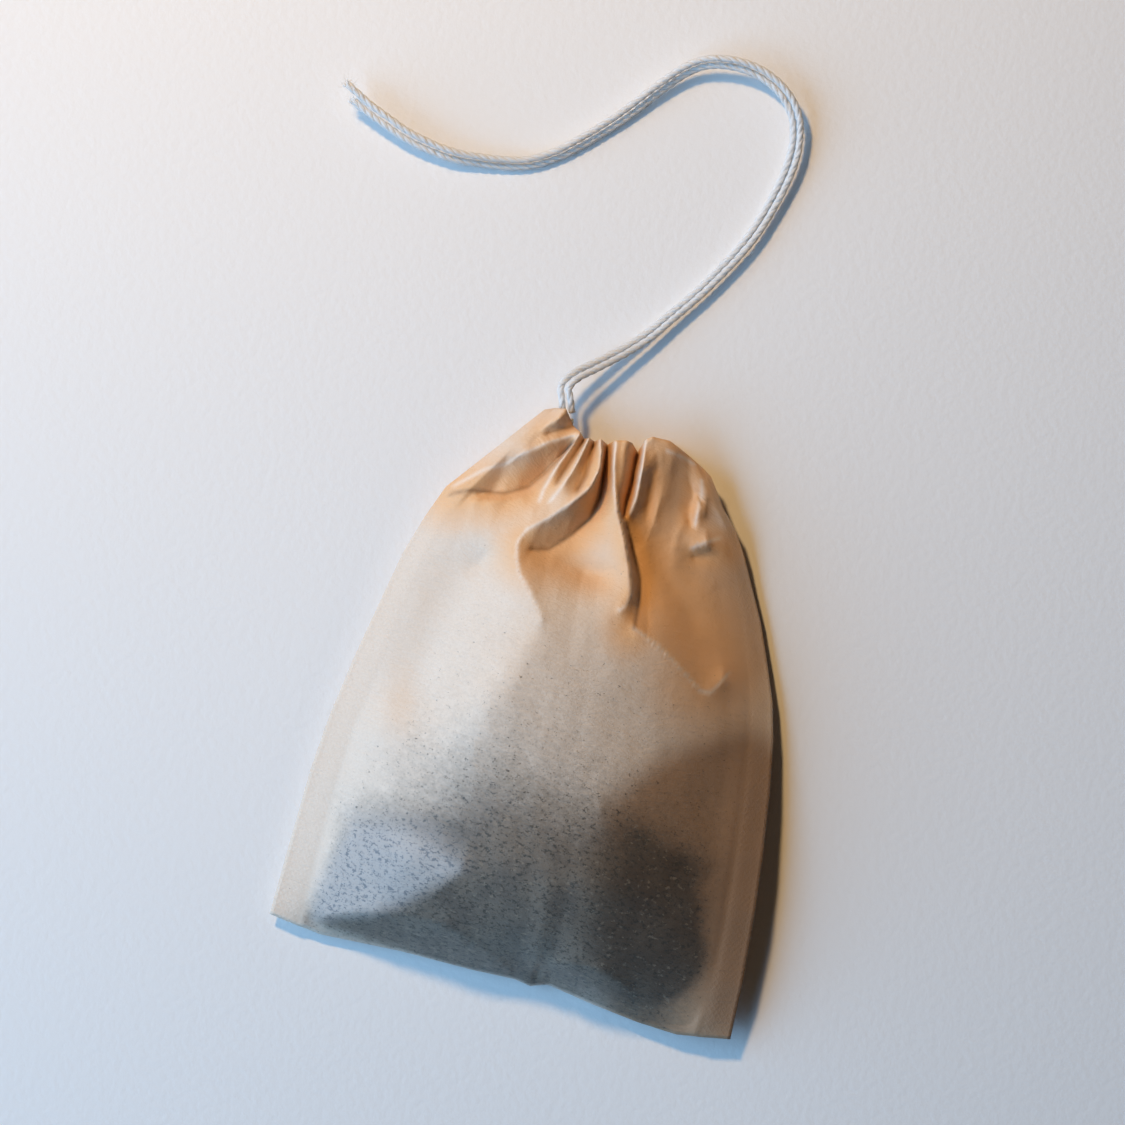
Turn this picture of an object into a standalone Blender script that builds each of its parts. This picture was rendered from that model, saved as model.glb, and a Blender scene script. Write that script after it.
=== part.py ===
"""A drawstring tea bag: a folded filter-paper bag, the tea in it, and its cotton string.

The bag lies on its back panel. X runs across it, Y from the bottom fold to the gathered
mouth and Z up. The origin is under the middle of the bag, on the surface it lies on.
Fold lines are written in millimetres as they lie on a bag of the drawn size, and are
scaled to the driving dimensions below.
"""

import bisect
import math

import bmesh
import bpy
import numpy as np
from mathutils import Vector

MM = 0.001

# Driving dimensions, in metres
BAG_WIDTH = 0.0688          # across the bottom fold, as it lies filled
BAG_LENGTH = 0.0813         # from the bottom fold to the gathered mouth, as it lies
BAG_DEPTH = 0.0174          # top of the filled bag above the surface
PAPER = 0.00025             # wall of each panel
SIDE_SEAL = 0.0045          # width of the pressed seam down each side
SEAM_RISE = 0.0022          # how far each seam slopes up from its outer edge
CLEARANCE = 0.0003          # between the paper and what it holds
STRING_DIAMETER = 0.00105
TEA_FILL = 0.92             # share of the room between the panels that the tea takes

# The bag that the fold lines were drawn on, in millimetres
DRAWN_WIDTH = 68.8
DRAWN_LENGTH = 81.3
DRAWN_DEPTH = 17.4

RISE_ENDS = 0.35            # how quickly the seams' slope dies away at their ends
SWELL = 60.0                # pressure of the tea on the front panel
NEAREST = 0.001             # the panels stay this far apart outside the seams

# Mesh of each panel
COLUMNS = 36
ROWS = 30
STRING_POINTS = 64
LOOP_POINTS = 26
CURVE_STEPS = 24            # points read on each span of a string's curve
SNAP_REACH = 0.003          # how far a mesh point may move onto a fold line

# Outline of the bag in millimetres: x, y and height of the seam or edge
LEFT_SEAM = [(-34.4, 0.0, 2.0), (-34.3, 10.0, 2.2), (-34.1, 21.8, 2.5), (-33.5, 29.7, 2.6),
             (-32.3, 38.6, 2.7), (-30.9, 46.7, 2.9), (-29.4, 55.2, 3.2), (-27.7, 61.0, 3.7),
             (-25.8, 66.1, 4.6), (-22.3, 70.7, 5.4), (-19.0, 75.1, 5.4), (-16.8, 78.1, 4.9),
             (-15.0, 80.5, 4.4)]
RIGHT_SEAM = [(34.4, 0.0, 3.2), (33.9, 8.0, 4.6), (32.9, 18.6, 5.2), (31.9, 26.8, 4.8),
              (30.6, 35.7, 3.8), (29.2, 43.1, 2.8), (27.7, 48.4, 2.1), (25.6, 53.5, 1.7),
              (23.1, 59.1, 1.5), (20.3, 64.1, 1.8), (18.2, 67.8, 2.4), (16.2, 70.8, 3.0),
              (13.6, 73.4, 3.4), (11.9, 75.7, 3.8), (10.6, 77.4, 4.2)]
BOTTOM_FOLD = [(-34.4, 0.0, 1.4), (-26.6, -1.0, 1.5), (-14.8, -0.3, 1.7), (-4.1, -0.2, 1.9),
               (2.2, 0.1, 1.9), (4.6, -0.3, 1.8), (7.0, 0.6, 2.0), (13.6, -0.4, 2.2),
               (20.9, -1.2, 2.5), (26.7, -1.4, 2.8), (34.4, 0.0, 3.2)]
# The gathered rim: x, y, front height, back height and share of the paper's width
RIM = [(-15.0, 80.5, 4.5, 4.3, 0.0), (-13.6, 81.1, 4.9, 4.1, 0.066),
       (-12.0, 81.3, 7.4, 1.6, 0.12), (-10.4, 79.3, 5.3, 1.4, 0.18), (-9.2, 78.6, 7.2, 1.7, 0.25),
       (-8.4, 77.9, 5.5, 1.4, 0.3), (-7.7, 78.1, 7.8, 1.6, 0.35), (-6.9, 77.9, 5.4, 1.3, 0.4),
       (-6.1, 78.4, 8.2, 1.6, 0.45), (-5.0, 78.0, 4.7, 1.3, 0.51), (-4.0, 78.7, 8.4, 1.5, 0.57),
       (-2.6, 79.1, 8.6, 1.6, 0.63), (-1.6, 79.0, 8.0, 1.5, 0.67), (-0.5, 78.1, 4.4, 1.3, 0.71),
       (0.1, 80.0, 8.6, 1.4, 0.76), (0.9, 80.6, 8.8, 1.6, 0.79), (3.5, 80.7, 7.7, 1.4, 0.85),
       (6.1, 79.7, 6.6, 1.6, 0.9), (9.0, 78.4, 4.6, 3.8, 0.934), (10.6, 77.4, 4.3, 4.1, 1.0)]

# Folds of the front panel in millimetres: x, y and height along each line
FRONT_FOLDS = {
    "flap_ridge": [(-24.6, 66.6, 6.0), (-20.9, 70.0, 7.2), (-18.5, 71.3, 7.8), (-16.6, 73.2, 8.2),
                   (-13.2, 76.0, 7.9), (-9.9, 78.0, 7.1)],
    "flap_valley": [(-24.8, 65.3, 5.2), (-22.3, 66.5, 5.4), (-17.4, 67.4, 6.1),
                    (-14.4, 69.1, 5.9), (-12.7, 71.5, 5.2), (-11.1, 74.4, 5.0), (-9.6, 77.2, 4.9)],
    "flap_roll": [(-22.6, 65.2, 6.9), (-19.0, 65.8, 7.7), (-15.4, 66.9, 8.0), (-13.0, 68.9, 8.1)],
    "tip_ridge": [(-16.2, 76.7, 6.4), (-14.4, 78.3, 7.4), (-12.7, 79.4, 8.2), (-12.0, 81.0, 7.5)],
    "tip_valley": [(-13.8, 77.2, 6.6), (-11.8, 78.4, 6.4), (-10.5, 79.1, 5.5)],
    "pleat_1": [(-9.2, 78.2, 7.2), (-10.4, 74.8, 8.6), (-11.4, 71.9, 9.2), (-12.1, 69.3, 9.7),
                (-12.2, 67.6, 9.8)],
    "valley_1": [(-8.4, 77.6, 5.6), (-9.0, 75.5, 7.0), (-9.8, 72.9, 8.0), (-10.5, 70.7, 8.9)],
    "pleat_2": [(-7.7, 78.0, 7.8), (-8.2, 75.4, 9.2), (-8.8, 72.6, 10.0), (-10.0, 69.5, 10.6),
                (-10.8, 67.8, 10.5)],
    "valley_2": [(-6.9, 77.7, 5.5), (-6.9, 75.5, 7.0), (-6.8, 72.6, 8.4), (-7.4, 70.4, 9.8)],
    "puff_edge": [(-6.1, 78.2, 8.2), (-5.5, 76.5, 9.2), (-5.1, 74.2, 10.2), (-5.7, 71.3, 11.2),
                  (-7.7, 68.5, 11.8), (-10.3, 65.5, 11.5), (-12.9, 63.2, 11.0),
                  (-13.7, 61.2, 11.3), (-13.3, 59.2, 11.9), (-12.2, 56.8, 13.1),
                  (-10.2, 54.9, 14.4), (-8.1, 52.5, 15.7), (-7.3, 51.0, 16.4)],
    "band_valley": [(-4.9, 77.6, 4.8), (-4.4, 73.7, 5.4), (-4.0, 70.4, 6.2), (-4.6, 67.1, 7.4),
                    (-6.5, 64.3, 8.4), (-9.2, 61.3, 9.3), (-11.6, 60.7, 10.2)],
    "middle_ridge": [(-3.9, 78.4, 8.4), (-3.3, 75.0, 9.6), (-2.5, 72.2, 10.4), (-1.0, 68.8, 11.3),
                     (1.2, 64.6, 12.6), (2.8, 60.8, 13.4), (3.7, 58.1, 13.9), (3.5, 56.5, 14.3),
                     (2.6, 55.5, 14.7)],
    "middle_foot": [(0.5, 67.9, 8.0), (2.2, 64.6, 7.6), (4.4, 60.7, 8.5), (5.1, 57.5, 10.5),
                    (5.3, 53.7, 14.8)],
    "crack": [(-0.5, 77.8, 4.5), (-0.2, 74.2, 4.6), (-0.2, 70.2, 5.8), (-0.1, 68.4, 7.7)],
    "right_ridge": [(0.1, 79.8, 8.6), (0.6, 76.0, 9.8), (0.9, 71.6, 10.0), (0.6, 69.2, 9.3)],
    "hem_crease": [(3.5, 79.2, 7.9), (5.7, 79.0, 7.0), (7.8, 78.5, 5.8)],
    "sliver": [(9.4, 76.6, 5.9), (9.9, 75.0, 6.2), (10.1, 69.9, 6.2)],
    "slit": [(10.9, 74.4, 4.8), (11.3, 71.5, 4.8)],
    "shoulder_ridge": [(10.6, 66.8, 7.4), (12.6, 68.4, 7.8), (14.2, 69.2, 6.2)],
    "shoulder_foot": [(10.9, 65.6, 5.8), (13.2, 66.5, 5.3), (15.0, 67.2, 4.6)],
    "dent_edge": [(5.3, 53.7, 14.8), (9.9, 51.8, 14.1), (13.9, 49.4, 12.7), (16.8, 47.5, 11.2),
                  (18.5, 47.7, 10.4), (20.1, 50.8, 8.3)],
    "bottom_ridge": [(-27.6, 1.4, 3.6), (-23.0, 3.9, 6.6), (-19.6, 4.9, 7.9), (-14.3, 6.2, 9.6),
                     (-9.2, 5.8, 9.3), (-6.4, 5.2, 8.6), (-0.5, 2.4, 5.2)],
    "dimple": [(5.3, 2.0, 4.2), (5.3, 3.4, 6.0), (5.4, 5.1, 8.4)],
    "bottom_ridge_right": [(6.7, 5.2, 8.6), (9.8, 5.6, 9.4), (13.4, 5.6, 9.4),
                           (18.3, 3.6, 7.0)],
    "apex_fall": [(-9.0, 15.1, 16.1), (-11.4, 11.0, 13.6), (-14.3, 6.2, 9.6)],
    "roof_crease": [(-12.1, 31.9, 16.6), (-9.9, 23.5, 16.4), (-9.0, 15.1, 16.1)],
    "turn_edge": [(4.6, 36.5, 16.8), (6.0, 32.0, 16.8), (7.5, 27.3, 16.7)],
    "second_pleat": [(-2.6, 78.8, 8.6), (-2.0, 75.9, 9.0), (-1.3, 72.3, 9.2)],
    "right_valley": [(2.8, 77.5, 7.3), (2.7, 75.1, 7.2), (2.7, 71.8, 7.1), (3.0, 69.4, 7.2)],
    "crest": [(-7.3, 51.0, 16.4), (-5.5, 52.7, 15.5), (-3.7, 53.7, 15.0), (-1.2, 54.4, 14.8),
              (1.9, 54.7, 14.8)],
    "dent_floor": [(5.4, 63.6, 7.6), (11.1, 59.2, 7.5), (15.4, 54.3, 7.6), (17.4, 50.3, 8.8)],
    "bowl_floor": [(-7.2, 59.9, 9.7), (-3.4, 59.5, 9.5), (-0.4, 59.5, 10.3)],
    "roof_ridge": [(-7.3, 51.0, 16.4), (-10.6, 42.0, 17.4), (-12.8, 36.8, 17.1), (-12.1, 31.9, 16.6)],
    "patch_edge": [(-17.6, 58.0, 8.0), (-21.3, 50.7, 7.0), (-22.2, 37.7, 7.4), (-22.3, 34.2, 7.7)],
    "star_crease": [(-27.6, 30.4, 8.2), (-25.4, 32.2, 8.7), (-22.6, 34.0, 9.2)],
    "fold_band": [(7.5, 27.3, 16.6), (10.8, 33.3, 14.9), (14.6, 37.7, 12.6), (19.0, 41.0, 10.2),
                  (25.0, 44.2, 6.7)],
    "tea_crown": [(-18.7, 13.6, 13.4), (-9.0, 15.1, 16.1), (1.6, 16.4, 16.7), (9.5, 17.8, 15.9),
                  (15.0, 18.6, 13.1)],
}
# Folds of the back panel
BACK_FOLDS = {
    "back_pleat_1": [(-6.0, 77.0, 1.8), (-5.0, 66.0, 1.4), (-4.0, 56.0, 0.6)],
    "back_pleat_2": [(2.5, 77.5, 1.8), (3.0, 64.0, 1.3), (4.0, 52.0, 0.6)],
    "back_valley_1": [(-9.0, 77.0, 1.0), (-10.0, 64.0, 0.6), (-11.0, 50.0, 0.4)],
    "back_valley_2": [(-1.0, 77.0, 1.0), (-0.6, 64.0, 0.5), (0.0, 50.0, 0.4)],
    "back_valley_3": [(7.0, 77.0, 1.0), (9.0, 64.0, 0.6), (12.0, 50.0, 0.4)],
}

# The flat patch that the bag lies on, at height 0
REST_PATCH = [(-16.0, 6.0), (17.0, 6.0), (21.0, 14.0), (16.0, 30.0), (-16.0, 30.0), (-20.0, 14.0)]

# Where the tea lies, in shares of the bag's width and length, and how its heap falls away
TEA_LEFT, TEA_RIGHT = 0.10, 0.90
TEA_TOP = 0.32
TEA_SIDE_POWER = 6          # the heap is flat-topped across the bag
TEA_TOP_POWER = 4           # and falls off quickly at its upper end
TEA_FOOT = 0.35             # how full it is at the bottom fold
TEA_FOOT_SLOPE = 4.0        # and how quickly it fills from there
TEA_EDGE = 0.25             # share of the room at the heap's thin edge

# The string in millimetres: the loop in the hem, then the free strands from the mouth
HEM_LOOP = [(-11.1, 80.2, 4.0), (-10.6, 78.0, 3.6), (-9.0, 76.2, 3.2), (-5.0, 75.2, 3.0),
            (0.0, 75.4, 3.0), (3.8, 76.1, 3.0), (5.8, 75.6, 3.1), (5.9, 73.9, 3.1),
            (4.0, 73.1, 3.0), (0.0, 72.6, 3.0), (-4.0, 72.2, 3.0), (-8.0, 72.8, 3.2),
            (-11.0, 74.8, 3.6), (-12.2, 77.4, 4.2), (-12.4, 80.3, 4.4)]
# The middle line of the pair of strands, the millimetres run at which strand A leans over
# strand B by so many degrees, how far apart their middles are and the lowest either may lie
STRING_ROUTE = [(-11.7, 80.9, 4.2), (-12.4, 82.7, 4.8), (-13.0, 84.5, 4.9), (-11.8, 86.5, 4.4),
                (-9.4, 88.7, 3.4), (-6.2, 91.7, 2.2), (-3.4, 94.8, 1.5), (-0.8, 98.5, 1.2),
                (2.2, 102.9, 1.1), (5.1, 107.9, 1.1), (7.4, 112.7, 1.1), (9.0, 117.9, 1.1),
                (10.0, 123.0, 1.4), (10.0, 127.1, 1.7), (8.9, 130.8, 2.2), (6.4, 133.6, 2.7),
                (2.9, 135.3, 3.0), (-0.8, 135.8, 3.1), (-4.8, 135.2, 2.9), (-7.9, 133.4, 2.3),
                (-11.1, 129.8, 1.7), (-15.5, 124.2, 1.2), (-20.2, 119.2, 1.1),
                (-23.4, 116.4, 1.1), (-26.8, 114.4, 1.1), (-30.6, 113.4, 1.3),
                (-33.9, 112.9, 1.6), (-37.4, 112.6, 2.0), (-40.9, 112.9, 2.3),
                (-44.5, 113.6, 2.6), (-47.7, 114.7, 2.9), (-50.6, 115.8, 3.1),
                (-53.4, 117.1, 3.3), (-55.2, 118.0, 3.4)]
LEAN_AT = (0.0, 6.0, 12.0, 30.0, 50.0, 70.0, 90.0, 110.0, 135.0)
LEAN = (20.0, 38.0, 45.0, 50.0, 42.0, 52.0, 44.0, 50.0, 30.0)
STRANDS_APART = 1.38
LOWEST = 0.6


def clear_scene():
    """Empty the scene so that the script always starts from nothing."""
    for item in list(bpy.data.objects):
        bpy.data.objects.remove(item, do_unlink=True)


def scaled(points):
    """Bring drawn millimetres to metres on the bag's driving dimensions."""
    scale = np.array([BAG_WIDTH / DRAWN_WIDTH, BAG_LENGTH / DRAWN_LENGTH, BAG_DEPTH / DRAWN_DEPTH])
    return np.array([p[:3] for p in points], dtype=float) * scale


def along(points, shares):
    """Read a polyline at shares of its plan length."""
    steps = np.hypot(*np.diff(points[:, :2], axis=0).T)
    length = np.concatenate([[0.0], np.cumsum(steps)])
    return np.stack([np.interp(shares * length[-1], length, points[:, k]) for k in range(3)], axis=-1)


def smooth_curve(points, count):
    """Read a Catmull-Rom curve through the points at even spacing."""
    ends = [2 * points[0] - points[1]] + list(points) + [2 * points[-1] - points[-2]]
    fine = []
    for a, b, c, d in zip(ends, ends[1:], ends[2:], ends[3:]):
        for t in np.linspace(0.0, 1.0, CURVE_STEPS, endpoint=False):
            fine.append(0.5 * (2 * b + (c - a) * t + (2 * a - 5 * b + 4 * c - d) * t ** 2
                               + (3 * b - a - 3 * c + d) * t ** 3))
    fine.append(points[-1])
    fine = np.array(fine)
    length = np.concatenate([[0.0], np.cumsum(np.linalg.norm(np.diff(fine, axis=0), axis=1))])
    wanted = np.linspace(0.0, length[-1], count)
    return np.stack([np.interp(wanted, length, fine[:, k]) for k in range(3)], axis=-1)


def rim_points(height_column, shares):
    """Read the gathered rim at shares of the paper's width, for the front or the back."""
    rim = np.array(RIM)
    points = scaled(rim[:, [0, 1, height_column]])
    return np.stack([np.interp(shares, rim[:, 4], points[:, k]) for k in range(3)], axis=-1)


def column_shares():
    """Shares across the paper: the side seams, and even columns between them."""
    seal = SIDE_SEAL / BAG_WIDTH
    inner = np.linspace(seal, 1.0 - seal, COLUMNS - 1)
    return np.concatenate([[0.0], inner, [1.0]])


def row_shares():
    """Shares up the paper, in even rows."""
    return np.linspace(0.0, 1.0, ROWS + 1)


def panel_plan():
    """Lay the panel's mesh out in plan between the seams, the fold and the rim."""
    s = column_shares()
    t = row_shares()
    left = along(scaled(LEFT_SEAM), t)
    right = along(scaled(RIGHT_SEAM), t)
    bottom = along(scaled(BOTTOM_FOLD), s)
    top = rim_points(2, s)
    s_grid, t_grid = np.meshgrid(s, t, indexing="ij")
    plan = np.zeros((len(s), len(t), 2))
    for k in range(2):
        sides = (1 - s_grid) * left[None, :, k] + s_grid * right[None, :, k]
        ends = (1 - t_grid) * bottom[:, None, k] + t_grid * top[:, None, k]
        corners = ((1 - s_grid) * (1 - t_grid) * left[0, k] + s_grid * (1 - t_grid) * right[0, k]
                   + (1 - s_grid) * t_grid * left[-1, k] + s_grid * t_grid * right[-1, k])
        plan[:, :, k] = sides + ends - corners
    return plan


def edge_heights(rim_column):
    """Known heights: the seams, the bottom fold and the rim."""
    s = column_shares()
    t = row_shares()
    heights = np.full((len(s), len(t)), np.nan)
    left = along(scaled(LEFT_SEAM), t)[:, 2]
    right = along(scaled(RIGHT_SEAM), t)[:, 2]
    heights[:, 0] = along(scaled(BOTTOM_FOLD), s)[:, 2]
    heights[:, -1] = rim_points(rim_column, s)[:, 2]
    rise = SEAM_RISE * BAG_DEPTH / (DRAWN_DEPTH * MM) * np.sin(math.pi * t) ** RISE_ENDS
    heights[0], heights[1] = left, left + rise
    heights[-1], heights[-2] = right, right + rise
    return heights


def crossing(a, b, c, d):
    """Where segment ab meets segment cd: shares along both, or None."""
    ab, cd, ac = b - a, d - c, c - a
    turn = ab[0] * cd[1] - ab[1] * cd[0]
    if abs(turn) < 1e-14:
        return None
    along_ab = (ac[0] * cd[1] - ac[1] * cd[0]) / turn
    along_cd = (ac[0] * ab[1] - ac[1] * ab[0]) / turn
    if 0.0 <= along_ab <= 1.0 and 0.0 <= along_cd <= 1.0:
        return along_ab, along_cd
    return None


def snap_to_fold(plan, heights, line):
    """Move the nearest mesh points onto a fold line and give them its height."""
    columns, rows = heights.shape
    for start, end in zip(line, line[1:]):
        low = np.minimum(start, end)[:2] - SNAP_REACH
        high = np.maximum(start, end)[:2] + SNAP_REACH
        near = np.all((plan > low) & (plan < high), axis=2)
        for i, j in zip(*np.nonzero(near)):
            for di, dj in ((1, 0), (0, 1)):
                if i + di >= columns - 2 or j + dj >= rows - 1 or i < 2 or j < 1:
                    continue
                hit = crossing(plan[i, j], plan[i + di, j + dj], start[:2], end[:2])
                if hit is None:
                    continue
                ki, kj = (i, j) if hit[0] < 0.5 else (i + di, j + dj)
                if ki < 2 or kj < 1 or (dj and not math.isnan(heights[ki, kj])):
                    continue
                point = start + (end - start) * hit[1]
                plan[ki, kj] = point[:2]
                heights[ki, kj] = point[2]


def cotangent(a, b, c):
    """Cotangent of the angle at a in each triangle abc."""
    u, v = b - a, c - a
    area = np.abs(u[..., 0] * v[..., 1] - u[..., 1] * v[..., 0]) + 1e-12
    return np.clip((u * v).sum(axis=-1) / area, 0.02, 50.0)


def stretch_between(plan, heights, pressure):
    """Stretch the paper like a film between its known heights, blown up by a pressure."""
    p00, p10 = plan[:-1, :-1], plan[1:, :-1]
    p01, p11 = plan[:-1, 1:], plan[1:, 1:]
    across = np.zeros((plan.shape[0] - 1, plan.shape[1]))
    upward = np.zeros((plan.shape[0], plan.shape[1] - 1))
    across[:, :-1] += cotangent(p11, p00, p10)
    across[:, 1:] += cotangent(p00, p01, p11)
    upward[1:, :] += cotangent(p00, p10, p11)
    upward[:-1, :] += cotangent(p11, p00, p01)
    diagonal = cotangent(p10, p00, p11) + cotangent(p01, p00, p11)
    cell = np.abs((p11 - p00)[..., 0] * (p01 - p10)[..., 1] - (p11 - p00)[..., 1] * (p01 - p10)[..., 0])
    load = np.zeros(heights.shape)
    for i in (slice(None, -1), slice(1, None)):
        for j in (slice(None, -1), slice(1, None)):
            load[i, j] += cell / 8 * pressure
    free = np.isnan(heights)

    def pull(z):
        out = np.zeros_like(z)
        flow = across * (z[1:] - z[:-1])
        out[1:] += flow
        out[:-1] -= flow
        flow = upward * (z[:, 1:] - z[:, :-1])
        out[:, 1:] += flow
        out[:, :-1] -= flow
        flow = diagonal * (z[1:, 1:] - z[:-1, :-1])
        out[1:, 1:] += flow
        out[:-1, :-1] -= flow
        return out * free

    z = np.where(free, np.nanmean(heights), heights)
    residual = (load - pull(z)) * free
    step = residual.copy()
    power = (residual ** 2).sum()
    for _ in range(4 * sum(heights.shape)):
        pulled = pull(step)
        size = power / max((step * pulled).sum(), 1e-30)
        z = z + size * step
        residual = residual - size * pulled
        next_power = (residual ** 2).sum()
        if next_power < 1e-24:
            break
        step = residual + next_power / power * step
        power = next_power
    return z


def inside_patch(plan):
    """Mesh points inside the patch that the bag lies on."""
    patch = scaled([(x, y, 0.0) for x, y in REST_PATCH])[:, :2]
    inside = np.zeros(plan.shape[:2], dtype=bool)
    for (x1, y1), (x2, y2) in zip(patch, np.roll(patch, -1, axis=0)):
        if y1 == y2:
            continue
        crosses = (plan[..., 1] < y1) != (plan[..., 1] < y2)
        inside ^= crosses & (plan[..., 0] < x1 + (plan[..., 1] - y1) * (x2 - x1) / (y2 - y1))
    return inside


def panels():
    """Plan and heights of the four faces of the paper, from the front's outside down."""
    plan = panel_plan()
    front_known = edge_heights(2)
    for line in FRONT_FOLDS.values():
        snap_to_fold(plan, front_known, scaled(line))
    back_known = edge_heights(3)
    back_known[:, -1] = np.minimum(back_known[:, -1], front_known[:, -1])
    back_plan = plan.copy()
    for line in BACK_FOLDS.values():
        snap_to_fold(back_plan, back_known, scaled(line))
    back_known[inside_patch(plan)] = 0.0
    front = stretch_between(plan, front_known, SWELL)
    back = np.maximum(stretch_between(plan, back_known, 0.0), 0.0)
    seam = np.zeros(front.shape, dtype=bool)
    seam[[0, 1, -2, -1]] = True
    seam[:, 0] = True
    middle = 0.5 * (front + back)
    front_out = np.where(seam, middle + PAPER, np.maximum(front, back + NEAREST))
    back_out = np.where(seam, middle - PAPER, back)
    void = np.zeros(front.shape, dtype=bool)
    void[2:-2, 2:] = True
    wall = PAPER * wall_stretch(plan, front_out)
    front_in = np.where(void, np.maximum(front_out - wall, 0.5 * (front_out + back_out)),
                        0.5 * (front_out + back_out))
    back_in = np.where(void, back_out + PAPER, 0.5 * (front_out + back_out))
    front_in = np.where(void, np.maximum(front_in, back_in + PAPER), front_in)
    front_out = np.maximum(front_out, front_in + PAPER)
    return plan, front_out, front_in, back_in, back_out


def wall_stretch(plan, heights):
    """How much taller the paper is than thick where it runs steeply, at most doubled."""
    across = np.gradient(heights, axis=0) / np.maximum(np.abs(np.gradient(plan[..., 0], axis=0)), 1e-4)
    return np.clip(np.sqrt(1 + across ** 2), 1.0, 2.0)


def make_object(name, bm, material):
    """Close up a mesh, point its faces outwards and put it in the scene."""
    bmesh.ops.recalc_face_normals(bm, faces=bm.faces)
    mesh = bpy.data.meshes.new(name)
    bm.to_mesh(mesh)
    bm.free()
    thing = bpy.data.objects.new(name, mesh)
    bpy.context.collection.objects.link(thing)
    mesh.materials.append(material)
    return thing


def make_material(name, colour, roughness):
    material = bpy.data.materials.new(name)
    material.use_nodes = True
    shader = material.node_tree.nodes["Principled BSDF"]
    shader.inputs["Base Color"].default_value = (*colour, 1.0)
    shader.inputs["Roughness"].default_value = roughness
    shader.inputs["Metallic"].default_value = 0.0
    return material


def sheet_vertices(bm, plan, heights):
    return [[bm.verts.new((*plan[i, j], heights[i, j])) for j in range(plan.shape[1])]
            for i in range(plan.shape[0])]


def sheet_faces(bm, sheet, first_column, last_column, first_row, last_row, seam=()):
    """Two triangles in each cell; one whose corners all lie in the seam holds no room."""
    for i in range(first_column, last_column):
        for j in range(first_row, last_row):
            a, b = sheet[i][j], sheet[i + 1][j]
            c, d = sheet[i + 1][j + 1], sheet[i][j + 1]
            for corners in ((a, b, c), (a, c, d)):
                if not all(corner in seam for corner in corners):
                    bm.faces.new(corners)


def drop_loose(bm):
    bmesh.ops.delete(bm, geom=[v for v in bm.verts if not v.link_faces], context="VERTS")


def build_bag(plan, layers):
    """The paper: two outer faces, two inner faces, and the rim that joins them at the mouth."""
    front_out, front_in, back_in, back_out = layers
    bm = bmesh.new()
    last_i, last_j = plan.shape[0] - 1, plan.shape[1] - 1
    front = sheet_vertices(bm, plan, front_out)
    back = sheet_vertices(bm, plan, back_out)
    room = np.zeros(plan.shape[:2], dtype=bool)
    room[1:-1, 1:] = True
    upper = [[None] * (last_j + 1) for _ in range(last_i + 1)]
    lower = [[None] * (last_j + 1) for _ in range(last_i + 1)]
    seam_verts = set()
    for i, j in zip(*np.nonzero(room)):
        upper[i][j] = bm.verts.new((*plan[i, j], front_in[i, j]))
        if i in (1, last_i - 1) or j == 1:
            lower[i][j] = upper[i][j]
            seam_verts.add(upper[i][j])
        else:
            lower[i][j] = bm.verts.new((*plan[i, j], back_in[i, j]))
    sheet_faces(bm, front, 0, last_i, 0, last_j)
    sheet_faces(bm, back, 0, last_i, 0, last_j)
    sheet_faces(bm, upper, 1, last_i - 1, 1, last_j, seam_verts)
    sheet_faces(bm, lower, 1, last_i - 1, 1, last_j, seam_verts)
    for j in range(last_j):
        for i in (0, last_i):
            bm.faces.new((front[i][j], front[i][j + 1], back[i][j + 1], back[i][j]))
    for i in range(last_i):
        bm.faces.new((front[i][0], front[i + 1][0], back[i + 1][0], back[i][0]))
    for i in range(1, last_i - 1):
        for outer, inner in ((front, upper), (back, lower)):
            bm.faces.new((outer[i][last_j], outer[i + 1][last_j], inner[i + 1][last_j], inner[i][last_j]))
    for edge, seam in ((0, 1), (last_i, last_i - 1)):
        bm.faces.new((front[edge][last_j], front[seam][last_j], upper[seam][last_j],
                      back[seam][last_j], back[edge][last_j]))
    bmesh.ops.triangulate(bm, faces=[f for f in bm.faces if len(f.verts) > 3])
    drop_loose(bm)
    return make_object("filter_bag", bm, make_material("kraft_filter_paper", (0.63, 0.47, 0.33), 0.85))


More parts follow.
